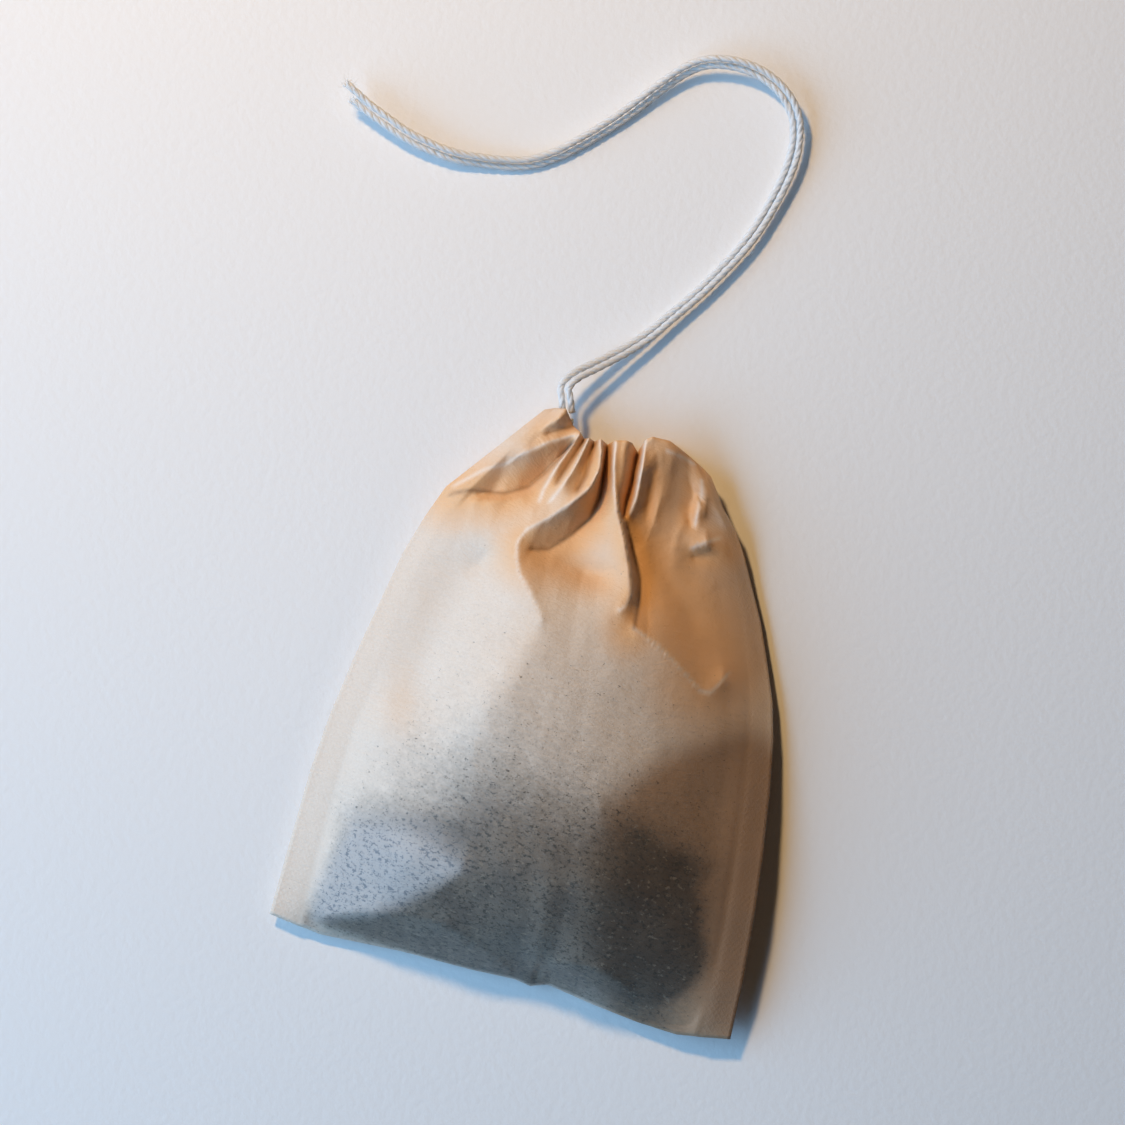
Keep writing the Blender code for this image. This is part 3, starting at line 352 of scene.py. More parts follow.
def link(name, data):
    """Put a mesh, camera or lamp in the scene."""
    thing = bpy.data.objects.new(name, data)
    bpy.context.collection.objects.link(thing)
    return thing


def mesh_piece(name, bm, material):
    """Make a finished bmesh a piece of one material."""
    mesh = bpy.data.meshes.new(name)
    bm.to_mesh(mesh)
    bm.free()
    mesh.materials.append(material)
    return link(name, mesh)


# Camera

def add_camera():
    """Look straight down, turned as the photograph is."""
    data = bpy.data.cameras.new("camera")
    data.sensor_width = 36.0
    data.lens = data.sensor_width * CAMERA_HEIGHT / (PHOTO_PIXELS * MM_PER_PIXEL * MM)
    data.clip_start = 0.01
    camera = link("camera", data)
    middle = pixel_to_frame(PHOTO_PIXELS / 2, PHOTO_PIXELS / 2)
    camera.location = middle + Vector((0.0, 0.0, CAMERA_HEIGHT))
    camera.rotation_euler = (0.0, 0.0, PHOTO_TURN)
    bpy.context.scene.camera = camera


# Shader helpers

def new_material(name):
    material = bpy.data.materials.new(name)
    material.use_nodes = True
    tree = material.node_tree
    return material, tree, tree.nodes["Principled BSDF"]


def fill(tree, node, inputs):
    """Link or set a node's inputs, by name or number; a colour is given as three numbers."""
    for key, value in inputs.items():
        socket = node.inputs[key]
        if isinstance(value, bpy.types.NodeSocket):
            tree.links.new(value, socket)
        elif socket.type == "RGBA":
            socket.default_value = (*value, 1.0)
        else:
            socket.default_value = value


def add_node(tree, kind, inputs=None, **settings):
    """Make a node, set its properties and fill its inputs."""
    node = tree.nodes.new(kind)
    for key, value in settings.items():
        setattr(node, key, value)
    fill(tree, node, inputs or {})
    return node


def mix_colour(tree, factor, first, second):
    return add_node(tree, "ShaderNodeMix", {0: factor, 6: first, 7: second}, data_type="RGBA").outputs[2]


def math_node(tree, operation, first, second=0.0):
    return add_node(tree, "ShaderNodeMath", {0: first, 1: second}, operation=operation).outputs[0]


def plus(tree, first, second):
    return math_node(tree, "ADD", first, second)


def minus(tree, first, second):
    return math_node(tree, "SUBTRACT", first, second)


def times(tree, first, second):
    return math_node(tree, "MULTIPLY", first, second)


def remap(tree, value, low, high, to_low=0.0, to_high=1.0, smooth=True):
    node = add_node(tree, "ShaderNodeMapRange", {0: value, 1: low, 2: high, 3: to_low, 4: to_high},
                    interpolation_type="SMOOTHSTEP" if smooth else "LINEAR")
    return node.outputs[0]


def object_place(tree):
    return add_node(tree, "ShaderNodeTexCoord").outputs["Object"]


def uv_place(tree, name):
    return add_node(tree, "ShaderNodeUVMap", uv_map=name).outputs[0]


def turned_place(tree, place, turn, scale):
    """A place turned in its plane and drawn out."""
    return add_node(tree, "ShaderNodeMapping", {"Vector": place, "Rotation": (0.0, 0.0, turn),
                                                "Scale": scale}).outputs[0]


def noise_at(tree, place, scale, detail, roughness=0.5, distortion=0.0):
    node = add_node(tree, "ShaderNodeTexNoise", {"Vector": place, "Scale": scale, "Detail": detail,
                                                 "Roughness": roughness, "Distortion": distortion})
    return node.outputs["Fac"]


def cells_at(tree, place, scale):
    """The distance to the middle of the nearest of many scattered cells."""
    return add_node(tree, "ShaderNodeTexVoronoi", {"Vector": place, "Scale": scale}).outputs["Distance"]


def bumped(tree, height, strength, depth):
    return add_node(tree, "ShaderNodeBump", {"Strength": strength, "Distance": depth,
                                             "Height": height}).outputs[0]


def let_light_through(tree, shader, share, glow):
    """Let a share of the light pass through a material, as the inputs for its glow say."""
    passing = add_node(tree, "ShaderNodeBsdfTranslucent", glow)
    blend = add_node(tree, "ShaderNodeMixShader", {0: share, 1: shader.outputs[0], 2: passing.outputs[0]})
    tree.links.new(blend.outputs[0], tree.nodes["Material Output"].inputs["Surface"])


# Paper and tea materials

def paper_material():
    """Unbleached filter paper: mottled tan, faint fibres, pressed seams, dark where tea lies behind, with
    painted shade, amber glow, ridge highlights and window sheen.
    """
    material, tree, shader = new_material("kraft_filter_paper")
    layer = {name: add_node(tree, "ShaderNodeAttribute", attribute_name=name).outputs["Fac"]
             for name in ("tea", "pale", "painted_shade", "ridge_highlight", "crease_shade", "seam", "hem", "painted_glow")}
    place = object_place(tree)
    sheet = uv_place(tree, "sheet")
    across = turned_place(tree, sheet, 0.35, (0.35, 1.6, 1.0))
    drawn_out = turned_place(tree, place, 0.62, (1.0, 1.5, 1.0))
    fibre = noise_at(tree, across, 22.0, 5.0, 0.7, 0.6)
    pulp = noise_at(tree, drawn_out, 2300.0, 3.0, 0.75)

    colour = plain_paper(tree, place, sheet, fibre, pulp)
    for name, strength, tint in TINTS:
        colour = mix_colour(tree, times(tree, layer[name], strength), colour, tint)
    colour = with_tea_behind(tree, colour, layer, place, drawn_out)
    # Painted sheen: the cool window's light painted on where the swollen paper faces the window
    colour = mix_colour(tree, times(tree, layer["pale"], 0.20), colour, PAINTED_WINDOW_SHEEN)

    relief = paper_relief(tree, place, sheet, across, pulp, layer["seam"])
    normal = bumped(tree, relief, 0.75, 0.00012)
    gloss = minus(tree, remap(tree, fibre, 0.3, 0.7, 0.46, 0.62), times(tree, layer["hem"], 0.12))
    fill(tree, shader, {"Base Color": colour, "Normal": normal, "Roughness": gloss,
                        "Specular IOR Level": 0.45, "Sheen Weight": 0.12, "Sheen Roughness": 0.5})
    passed = mix_colour(tree, layer["tea"], THROUGH_PAPER, THROUGH_TEA)
    let_light_through(tree, shader, remap(tree, layer["tea"], 0.0, 0.8, 0.17, 0.06),
                      {"Color": passed, "Normal": normal})
    return material


def plain_paper(tree, place, sheet, fibre, pulp):
    """Mottled tan with long pale fibres, dark specks and the close grain of pressed pulp."""
    mottle = noise_at(tree, place, 260.0, 6.0, 0.65)
    cloud = noise_at(tree, place, 60.0, 3.0)
    speck = cells_at(tree, turned_place(tree, sheet, -0.9, (0.7, 1.9, 1.0)), 2.4)
    colour = mix_colour(tree, mottle, PAPER_DULL, PAPER_BRIGHT)
    colour = mix_colour(tree, remap(tree, cloud, 0.35, 0.7, 0.0, 0.25), colour, PAPER_CLOUD)
    colour = mix_colour(tree, remap(tree, fibre, 0.52, 0.66, 0.0, 0.22), colour, PALE_FIBRE)
    colour = mix_colour(tree, remap(tree, speck, 0.035, 0.02, 0.0, 0.75), colour, DARK_SPECK)
    return mix_colour(tree, remap(tree, pulp, 0.60, 0.36, 0.0, 0.22), colour, PULP_SHADE)


def with_tea_behind(tree, colour, layer, place, drawn_out):
    """Tea seen through the paper: a grey veil with stalks, dark grains and pits."""
    tea, pale, painted_shade = layer["tea"], layer["pale"], layer["painted_shade"]
    clump = noise_at(tree, place, 210.0, 3.0, 0.6)
    ragged = noise_at(tree, drawn_out, 950.0, 3.0, 0.7)
    grain = noise_at(tree, drawn_out, 1350.0, 4.0, 0.8)
    stalk = add_node(tree, "ShaderNodeTexNoise", {"Vector": drawn_out, "Scale": 900.0, "Detail": 3.0,
                                                  "Roughness": 0.6, "W": 4.0}, noise_dimensions="4D")

    # The tea's edge is ragged, and the swollen paper stands off from the tea
    rough_edge = plus(tree, times(tree, clump, 0.28), times(tree, ragged, 0.42))
    reach = plus(tree, tea, minus(tree, rough_edge, 0.35))
    thinner = minus(tree, 1.0, times(tree, pale, 0.42))
    veil = times(tree, remap(tree, reach, 0.08, 0.95), thinner)
    behind = mix_colour(tree, remap(tree, clump, 0.35, 0.65), BEHIND_DARK, BEHIND_LIGHT)
    # Under the painted shade the tea behind the paper is painted darker still
    behind = mix_colour(tree, times(tree, painted_shade, 0.55), behind, BEHIND_IN_SHADE)
    colour = mix_colour(tree, times(tree, veil, 0.93), colour, behind)

    stalks = times(tree, remap(tree, stalk.outputs["Fac"], 0.57, 0.66, 0.0, 0.60), veil)
    colour = mix_colour(tree, stalks, colour, STALK)
    # More grains lie against the paper the more tea there is
    limit = remap(tree, reach, 0.0, 1.0, 0.67, 0.545, smooth=False)
    grains = times(tree, remap(tree, minus(tree, grain, limit), -0.015, 0.035), remap(tree, tea, 0.02, 0.2))
    colour = mix_colour(tree, times(tree, grains, 0.80), colour, GRAIN)
    pits = times(tree, remap(tree, cells_at(tree, place, 1500.0), 0.16, 0.34, 1.0, 0.0),
                 remap(tree, tea, 0.1, 0.6))
    return mix_colour(tree, times(tree, pits, 0.25), colour, PIT)


def paper_relief(tree, place, sheet, across, pulp, seam):
    """Felted fibres, creping and the pressed cross-hatch of the side seams."""
    felt = noise_at(tree, place, 1700.0, 5.0, 0.7)
    crepe = noise_at(tree, across, 9.0, 4.0, 0.6, 0.8)
    split = add_node(tree, "ShaderNodeSeparateXYZ", {0: sheet})
    pressed = times(tree, hatch_pattern(tree, split.outputs[0], split.outputs[1]), seam)
    relief = plus(tree, times(tree, felt, 0.35), times(tree, crepe, 0.9))
    relief = plus(tree, relief, times(tree, pulp, 0.6))
    return plus(tree, relief, times(tree, pressed, 0.12))


def hatch_pattern(tree, across, along):
    """Two sets of slanted pressed lines, about half a millimetre apart."""
    lines = []
    for side in (1.0, -1.0):
        slant = plus(tree, across, times(tree, along, side * 0.7))
        wave = math_node(tree, "SINE", times(tree, slant, 2 * math.pi * 12.0))
        lines.append(remap(tree, wave, 0.2, 0.9))
    return math_node(tree, "MAXIMUM", lines[0], lines[1])


def tea_material(name, dark, pale):
    """Dried leaf: nearly black brown with olive flecks and a dull gloss."""
    material, tree, shader = new_material(name)
    place = object_place(tree)
    fleck = noise_at(tree, place, 700.0, 4.0, 0.7)
    rough = noise_at(tree, place, 2600.0, 3.0)
    fill(tree, shader, {"Base Color": mix_colour(tree, remap(tree, fleck, 0.35, 0.72), dark, pale),
                        "Normal": bumped(tree, rough, 0.7, 0.0002),
                        "Roughness": remap(tree, rough, 0.3, 0.7, 0.55, 0.9)})
    return material


def cotton_material():
    """White cotton ply with fine fibres that follow its twist."""
    material, tree, shader = new_material("cotton_ply")
    fibre = noise_at(tree, turned_place(tree, uv_place(tree, "ply"), 0.5, (9.0, 1.2, 1.0)), 2.2, 5.0, 0.7)
    shade = noise_at(tree, object_place(tree), 420.0, 2.0)
    colour = mix_colour(tree, remap(tree, fibre, 0.3, 0.7), COTTON_DULL, COTTON_BRIGHT)
    colour = mix_colour(tree, remap(tree, shade, 0.4, 0.75, 0.0, 0.15), colour, COTTON_SHADE)
    fill(tree, shader, {"Base Color": colour, "Normal": bumped(tree, fibre, 0.6, 0.00008),
                        "Roughness": 0.8, "Specular IOR Level": 0.25, "Sheen Weight": 0.8,
                        "Sheen Roughness": 0.4})
    let_light_through(tree, shader, 0.42, {"Color": colour})
    return material


def fibre_material():
    """A single loose cotton fibre."""
    material, tree, shader = new_material("cotton_fibre")
    fill(tree, shader, {"Base Color": FIBRE_WHITE, "Roughness": 0.7})
    return material


def floor_material():
    """A sheet of plain white paper with a barely visible tooth."""
    material, tree, shader = new_material("plain_floor")
    tooth = noise_at(tree, object_place(tree), 900.0, 4.0)
    fill(tree, shader, {"Base Color": FLOOR_WHITE, "Normal": bumped(tree, tooth, 0.3, 0.0002),
                        "Roughness": 0.85})
    return material


# String

def run_along(points):
    """How far along its polyline each point lies."""
    return np.concatenate([[0.0], np.cumsum(np.linalg.norm(np.diff(points, axis=0), axis=1))])


def smooth_path(points, spacing):
    """Read a Catmull-Rom curve through the points at even spacing."""
    ends = [2 * points[0] - points[1]] + list(points) + [2 * points[-1] - points[-2]]
    fine = []
    for a, b, c, d in zip(ends, ends[1:], ends[2:], ends[3:]):
        for t in np.linspace(0.0, 1.0, 40, endpoint=False):
            fine.append(0.5 * (2 * b + (c - a) * t + (2 * a - 5 * b + 4 * c - d) * t ** 2
                               + (3 * b - a - 3 * c + d) * t ** 3))
    fine.append(points[-1])
    fine = np.array(fine)
    length = run_along(fine)
    wanted = np.linspace(0.0, length[-1], int(round(length[-1] / spacing)) + 1)
    return np.stack([np.interp(wanted, length, fine[:, k]) for k in range(3)], axis=-1)


def strand_route(side):
    """One strand of the pair in drawn millimetres: 1 for strand A, -1 for the shorter strand B."""
    middle = np.array(STRING_ROUTE)
    heading = np.gradient(middle[:, :2], axis=0)
    heading /= np.linalg.norm(heading, axis=1)[:, None]
    right = np.stack([heading[:, 1], -heading[:, 0]], axis=-1)
    lean = np.radians(np.interp(run_along(middle), LEAN_AT, LEAN))
    offset = side * STRANDS_APART / 2
    middle[:, :2] += right * (offset * np.cos(lean))[:, None]
    middle[:, 2] = np.maximum(middle[:, 2] + offset * np.sin(lean), LOWEST)
    return middle if side > 0 else middle[:-1]


def carried_frames(path):
    """Side and up directions along a path, carried without twisting."""
    heading = np.gradient(path, axis=0)
    heading /= np.linalg.norm(heading, axis=1)[:, None]
    side = np.cross(heading[0], [0.0, 0.0, 1.0])
    side /= np.linalg.norm(side)
    sides = []
    for h in heading:
        side = side - h * side.dot(h)
        side /= np.linalg.norm(side)
        sides.append(side.copy())
    sides = np.array(sides)
    return sides, np.cross(heading, sides)


def twisted_plies(name, path, material, turn_start=0.0, sides=9, frayed=0.0):
    """Plies wound round a path, as one mesh with a UV map along each ply."""
    side, up = carried_frames(path)
    distance = run_along(path)
    fray = frayed * np.clip(1.0 - (distance[-1] - distance) / FRAY_LENGTH, 0.0, 1.0)
    thin = 1.0 - FRAY_THINS * fray ** 2
    ply_radius = STRING_DIAMETER * PLY_SHARE * thin
    bm = bmesh.new()
    fray_layer = bm.verts.layers.float.new("fray")
    uv = bm.loops.layers.uv.new("ply")
    for ply in range(PLIES):
        wobble = np.array([noise.noise(Vector((d * WOBBLES_PER_METRE, ply * 7.0, turn_start)))
                           for d in distance])
        angle = (2 * math.pi * distance / TWIST_PITCH + 2 * math.pi * ply / PLIES + turn_start
                 + WOBBLE_TURN * wobble)
        offset = (STRING_DIAMETER * (0.5 - PLY_SHARE)) * (1 + WOBBLE_PLACE * wobble
                                                          + FRAY_SPREADS * fray ** 2)
        centre = path + offset[:, None] * (np.cos(angle)[:, None] * side + np.sin(angle)[:, None] * up)
        rings = []
        for k, middle in enumerate(centre):
            ring = []
            for n in range(sides):
                around = 2 * math.pi * n / sides + angle[k]
                out = math.cos(around) * side[k] + math.sin(around) * up[k]
                ring.append(bm.verts.new(middle + out * ply_radius[k] * (1 + WOBBLE_THICKNESS * wobble[k])))
                ring[-1][fray_layer] = float(fray[k])
            rings.append(ring)
        for k in range(len(rings) - 1):
            for n in range(sides):
                m = (n + 1) % sides
                face = bm.faces.new((rings[k][n], rings[k + 1][n], rings[k + 1][m], rings[k][m]))
                face.smooth = True
                corners = ((n, k), (n, k + 1), (n + 1, k + 1), (n + 1, k))
                for loop, (a, b) in zip(face.loops, corners):
                    loop[uv].uv = (a / sides, distance[b] / STRING_DIAMETER)
        bm.faces.new(rings[0])
        bm.faces.new(list(reversed(rings[-1])))
    bmesh.ops.recalc_face_normals(bm, faces=bm.faces)
    return mesh_piece(name, bm, material)


def new_scatter(name, sockets):
    """An empty node tree that takes a surface and named inputs and gives back a mesh."""
    tree = bpy.data.node_groups.new(name, "GeometryNodeTree")
    tree.interface.new_socket("Surface", in_out="INPUT", socket_type="NodeSocketGeometry")
    tree.interface.new_socket("Mesh", in_out="OUTPUT", socket_type="NodeSocketGeometry")
    for label, kind in sockets:
        tree.interface.new_socket(label, in_out="INPUT", socket_type=kind)
    return tree, tree.nodes.new("NodeGroupInput").outputs, tree.nodes.new("NodeGroupOutput")


def random_between(tree, low, high, seed):
    """A random vector for each point, between two corners."""
    node = add_node(tree, "FunctionNodeRandomValue", {0: low, 1: high, "Seed": seed},
                    data_type="FLOAT_VECTOR")
    return node.outputs[0]


def turned_at_random(tree, rotation, low, high, seed):
    """Turn each point further by random angles between two corners."""
    angles = add_node(tree, "FunctionNodeEulerToRotation", {0: random_between(tree, low, high, seed)})
    return add_node(tree, "FunctionNodeRotateRotation", {0: rotation, 1: angles.outputs[0]},
                    rotation_space="LOCAL").outputs[0]


def scatter(tree, given, end, points, turned, piece, sizes):
    """Set one small piece on every point, then join them and give them their material."""
    placed_pieces = add_node(tree, "GeometryNodeInstanceOnPoints",
                             {"Points": points, "Instance": piece, "Rotation": turned, "Scale": sizes})
    joined = add_node(tree, "GeometryNodeRealizeInstances", {"Geometry": placed_pieces.outputs[0]})
    coated = add_node(tree, "GeometryNodeSetMaterial",
                      {"Geometry": joined.outputs[0], "Material": given["Material"]})
    tree.links.new(coated.outputs[0], end.inputs[0])


def fuzz_tree():
    """Loose cotton fibres: short bent hairs over a string, closer together where it frays."""
    tree, given, end = new_scatter("cotton_fuzz", (("Fibres per area", "NodeSocketFloat"),
                                                   ("Length", "NodeSocketFloat"),
                                                   ("Thickness", "NodeSocketFloat"),
                                                   ("Seed", "NodeSocketInt"),
                                                   ("Material", "NodeSocketMaterial")))
    length, seed = given["Length"], given["Seed"]
    fray = add_node(tree, "GeometryNodeInputNamedAttribute", {"Name": "fray"}, data_type="FLOAT").outputs[0]
    density = times(tree, given["Fibres per area"], plus(tree, times(tree, fray, FRAY_CROWDS), 1.0))
    spread = add_node(tree, "GeometryNodeDistributePointsOnFaces",
                      {"Mesh": given["Surface"], "Density": density, "Seed": seed})
    reach = add_node(tree, "ShaderNodeCombineXYZ", {"X": length, "Z": times(tree, length, 0.35)})
    middle = add_node(tree, "ShaderNodeCombineXYZ", {"X": times(tree, length, 0.45),
                                                     "Z": times(tree, length, 0.42)})
    spine = add_node(tree, "GeometryNodeCurveQuadraticBezier",
                     {"Resolution": 4, "Start": (0.0, 0.0, 0.0), "Middle": middle.outputs[0],
                      "End": reach.outputs[0]})
    ring = add_node(tree, "GeometryNodeCurvePrimitiveCircle",
                    {"Resolution": 3, "Radius": given["Thickness"]}, mode="RADIUS")
    hair = add_node(tree, "GeometryNodeCurveToMesh",
                    {"Curve": spine.outputs[0], "Profile Curve": ring.outputs[0], "Fill Caps": True})
    turned = turned_at_random(tree, spread.outputs["Rotation"], (-0.3, -0.5, -math.pi),
                              (0.3, 0.2, math.pi), seed)
    sizes = random_between(tree, (0.3, 0.3, 0.2), (1.0, 1.0, 1.0), seed)
    scatter(tree, given, end, spread.outputs["Points"], turned, hair.outputs[0], sizes)
    return tree


def strew(name, surface, tree, values):
    """Run a scatter tree over a copy of a piece's mesh and keep only what it made."""
    thing = link(name, surface.data.copy())
    modifier = thing.modifiers.new("scatter", "NODES")
    modifier.node_group = tree
    for item in tree.interface.items_tree:
        if item.in_out == "INPUT" and item.name in values:
            modifier[item.identifier] = values[item.name]
    made = thing.evaluated_get(bpy.context.evaluated_depsgraph_get())
    mesh = bpy.data.meshes.new_from_object(made)
    thing.modifiers.remove(modifier)
    for v in mesh.vertices:
        v.co.z = max(v.co.z, LOWEST_FIBRE)
    thing.data = mesh
    return thing


def add_strings(cotton):
    """The two free strands and the loop that runs through the hem."""
    fuzz = fuzz_tree()
    fibre = fibre_material()
    loop_path = smooth_path(placed(HEM_LOOP), LOOP_STEP)
    loop = twisted_plies("hem_loop_plies", loop_path, cotton, 0.4, 7)
    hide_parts("drawstring_hem_loop")
    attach(loop, "root")
    for letter, side, length, turn_start, seed in (("a", 1, STRAND_A_LENGTH, 0.0, 3),
                                                   ("b", -1, STRAND_B_LENGTH, 1.9, 8)):
        path = smooth_path(placed(strand_route(side)), STRAND_STEP)
        strand = twisted_plies("strand_%s_plies" % letter, path, cotton, turn_start, frayed=1.0)
        hairs = strew("strand_%s_fuzz" % letter, strand, fuzz,
                      {"Fibres per area": FIBRES_PER_AREA, "Length": FIBRE_LENGTH,
                       "Thickness": FIBRE_THICKNESS, "Seed": seed, "Material": fibre})
        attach(hairs, "root")
        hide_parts("drawstring_strand_%s" % letter)
        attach(strand, "root")


# Paper

def along(points, shares):
    """Read a polyline at shares of its plan length."""
    steps = np.hypot(*np.diff(points[:, :2], axis=0).T)
    length = np.concatenate([[0.0], np.cumsum(steps)])
    return np.stack([np.interp(shares * length[-1], length, points[:, k]) for k in range(3)], axis=-1)


def rim_points(height_column, shares):
    """Read the gathered rim at shares of the paper's width."""
    rim = np.array(RIM)
    points = placed(rim[:, [0, 1, height_column]])
    return np.stack([np.interp(shares, rim[:, 4], points[:, k]) for k in range(3)], axis=-1)


def column_shares():
    """Shares across the paper: even columns, with one on each seam's inner edge."""
    seal = SIDE_SEAL / (BAG_HIGH[0] - BAG_LOW[0])
    inner = np.linspace(seal, 1.0 - seal, COLUMNS + 1 - 2 * SEAM_COLUMNS)
    left = np.linspace(0.0, seal, SEAM_COLUMNS, endpoint=False)
    return np.concatenate([left, inner, (1.0 - left)[::-1]])


def panel_plan(s, t):
    """Lay the panel's mesh out in plan between the seams, the fold and the rim."""
    left = along(placed(LEFT_SEAM), t)
    right = along(placed(RIGHT_SEAM), t)
    bottom = along(placed(BOTTOM_FOLD), s)
    top = rim_points(FRONT_HEIGHT, s)
    s_grid, t_grid = np.meshgrid(s, t, indexing="ij")
    plan = np.zeros((len(s), len(t), 2))
    for k in range(2):
        sides = (1 - s_grid) * left[None, :, k] + s_grid * right[None, :, k]
        ends = (1 - t_grid) * bottom[:, None, k] + t_grid * top[:, None, k]
        corners = ((1 - s_grid) * (1 - t_grid) * left[0, k] + s_grid * (1 - t_grid) * right[0, k]
                   + (1 - s_grid) * t_grid * left[-1, k] + s_grid * t_grid * right[-1, k])
        plan[:, :, k] = sides + ends - corners
    return plan


def edge_heights(s, t, rim_column):
    """The heights known from the bottom fold, the rim and the side seals; nan elsewhere."""
    heights = np.full((len(s), len(t)), np.nan)
    heights[:, 0] = along(placed(BOTTOM_FOLD), s)[:, 2]
    heights[:, -1] = rim_points(rim_column, s)[:, 2]
    swell = np.sin(math.pi * t) ** 0.35
    right_rise = np.interp(t, (0.0, 0.45, 0.70), (RIGHT_SEAM_RISE, RIGHT_SEAM_RISE, LEFT_SEAM_RISE))
    for column in range(SEAM_COLUMNS + 1):
        share = swell * column / SEAM_COLUMNS
        heights[column] = along(placed(LEFT_SEAM), t)[:, 2] + LEFT_SEAM_RISE * share
        heights[-1 - column] = along(placed(RIGHT_SEAM), t)[:, 2] + right_rise * share
    return heights


def crossing(a, b, c, d):
    """Where segment ab meets segment cd: shares along both, or None."""
    ab, cd, ac = b - a, d - c, c - a
    turn = ab[0] * cd[1] - ab[1] * cd[0]
    if abs(turn) < 1e-14:
        return None
    along_ab = (ac[0] * cd[1] - ac[1] * cd[0]) / turn
    along_cd = (ac[0] * ab[1] - ac[1] * ab[0]) / turn
    if 0.0 <= along_ab <= 1.0 and 0.0 <= along_cd <= 1.0:
        return along_ab, along_cd
    return None


def snap_to_fold(plan, heights, line, move=True):
    """Give the mesh points along a fold line its height, moved onto it if it is crisp."""
    columns, rows = heights.shape
    inner = SEAM_COLUMNS + 1
    hits = []
    for start, end in zip(line, line[1:]):
        low = np.minimum(start, end)[:2] - FOLD_MARGIN
        high = np.maximum(start, end)[:2] + FOLD_MARGIN
        near = np.all((plan > low) & (plan < high), axis=2)
        for i, j in zip(*np.nonzero(near)):
            for di, dj in ((1, 0), (0, 1)):
                if i + di >= columns - inner or j + dj >= rows - 1 or i < inner or j < 1:
                    continue
                hit = crossing(plan[i, j], plan[i + di, j + dj], start[:2], end[:2])
                if hit is None:
                    continue
                ki, kj = (i, j) if hit[0] < 0.5 else (i + di, j + dj)
                if dj and not math.isnan(heights[ki, kj]):
                    continue
                point = start + (end - start) * hit[1]
                if move:
                    plan[ki, kj] = point[:2]
                heights[ki, kj] = point[2]
                hits.append((ki, kj))
    return hits


def cotangent(a, b, c):
    """The cotangent of the angle at a, in the plan of each cell, kept within bounds."""
    u, v = b - a, c - a
    area = np.abs(u[..., 0] * v[..., 1] - u[..., 1] * v[..., 0]) + 1e-12
    return np.clip((u * v).sum(axis=-1) / area, 0.02, 50.0)


def stretch_between(plan, heights, pressure):
    """Stretch the paper like a film between its known heights, blown up by a pressure."""
    p00, p10 = plan[:-1, :-1], plan[1:, :-1]
    p01, p11 = plan[:-1, 1:], plan[1:, 1:]
    across = np.zeros((plan.shape[0] - 1, plan.shape[1]))
    upward = np.zeros((plan.shape[0], plan.shape[1] - 1))
    across[:, :-1] += cotangent(p11, p00, p10)
    across[:, 1:] += cotangent(p00, p01, p11)
    upward[1:, :] += cotangent(p00, p10, p11)
    upward[:-1, :] += cotangent(p11, p00, p01)
    diagonal = cotangent(p10, p00, p11) + cotangent(p01, p00, p11)
    cell = np.abs((p11 - p00)[..., 0] * (p01 - p10)[..., 1] - (p11 - p00)[..., 1] * (p01 - p10)[..., 0])
    load = np.zeros(heights.shape)
    for i in (slice(None, -1), slice(1, None)):
        for j in (slice(None, -1), slice(1, None)):
            load[i, j] += cell / 8 * pressure
    free = np.isnan(heights)

    def pull(z):
        out = np.zeros_like(z)
        flow = across * (z[1:] - z[:-1])
        out[1:] += flow
        out[:-1] -= flow
        flow = upward * (z[:, 1:] - z[:, :-1])
        out[:, 1:] += flow
        out[:, :-1] -= flow
        flow = diagonal * (z[1:, 1:] - z[:-1, :-1])
        out[1:, 1:] += flow
        out[:-1, :-1] -= flow
        return out * free

    z = np.where(free, np.nanmean(heights), heights)
    residual = (load - pull(z)) * free
    step = residual.copy()
    power = (residual ** 2).sum()
    for _ in range(6 * sum(heights.shape)):
        pulled = pull(step)
        size = power / max((step * pulled).sum(), 1e-30)
        z = z + size * step
        residual = residual - size * pulled
        next_power = (residual ** 2).sum()
        if next_power < 1e-22:
            break
        step = residual + next_power / power * step
        power = next_power
    return z


def soften(heights, fixed, times):
    """Round the paper off away from its crisp folds and edges."""
    z = heights.copy()
    for _ in range(times):
        near = np.pad(z, 1, mode="edge")
        mean = (near[:-2, 1:-1] + near[2:, 1:-1] + near[1:-1, :-2] + near[1:-1, 2:]) / 4
        z = np.where(fixed, z, 0.5 * z + 0.5 * mean)
    return z


def inside(plan, outline):
    """Which mesh points lie inside an outline of drawn millimetres."""
    corners = placed([(x, y, 0.0) for x, y in outline])[:, :2]
    found = np.zeros(plan.shape[:2], dtype=bool)
    for (x1, y1), (x2, y2) in zip(corners, np.roll(corners, -1, axis=0)):
        if y1 == y2:
            continue
        crosses = (plan[..., 1] < y1) != (plan[..., 1] < y2)
        found ^= crosses & (plan[..., 0] < x1 + (plan[..., 1] - y1) * (x2 - x1) / (y2 - y1))
    return found


def distance_to_line(plan, line):
    """Plan distance from each mesh point to a polyline."""
    best = np.full(plan.shape[:2], 1.0)
    for start, end in zip(line[:, :2], line[1:, :2]):
        run = end - start
        share = np.clip(((plan - start) * run).sum(axis=2) / max((run ** 2).sum(), 1e-12), 0.0, 1.0)
        best = np.minimum(best, np.linalg.norm(plan - start - share[..., None] * run, axis=2))
    return best


def patch_share(plan, outline, soft):
    """1 inside an outline of drawn millimetres and 0 outside, blurred over a distance each way."""
    edge = distance_to_line(plan, placed([(x, y, 0.0) for x, y in outline + outline[:1]]))
    return np.clip(0.5 + 0.5 * np.where(inside(plan, outline), edge, -edge) / soft, 0.0, 1.0)


def blur(values, times_over):
    """Soften values everywhere."""
    return soften(values, np.zeros(values.shape, dtype=bool), times_over)


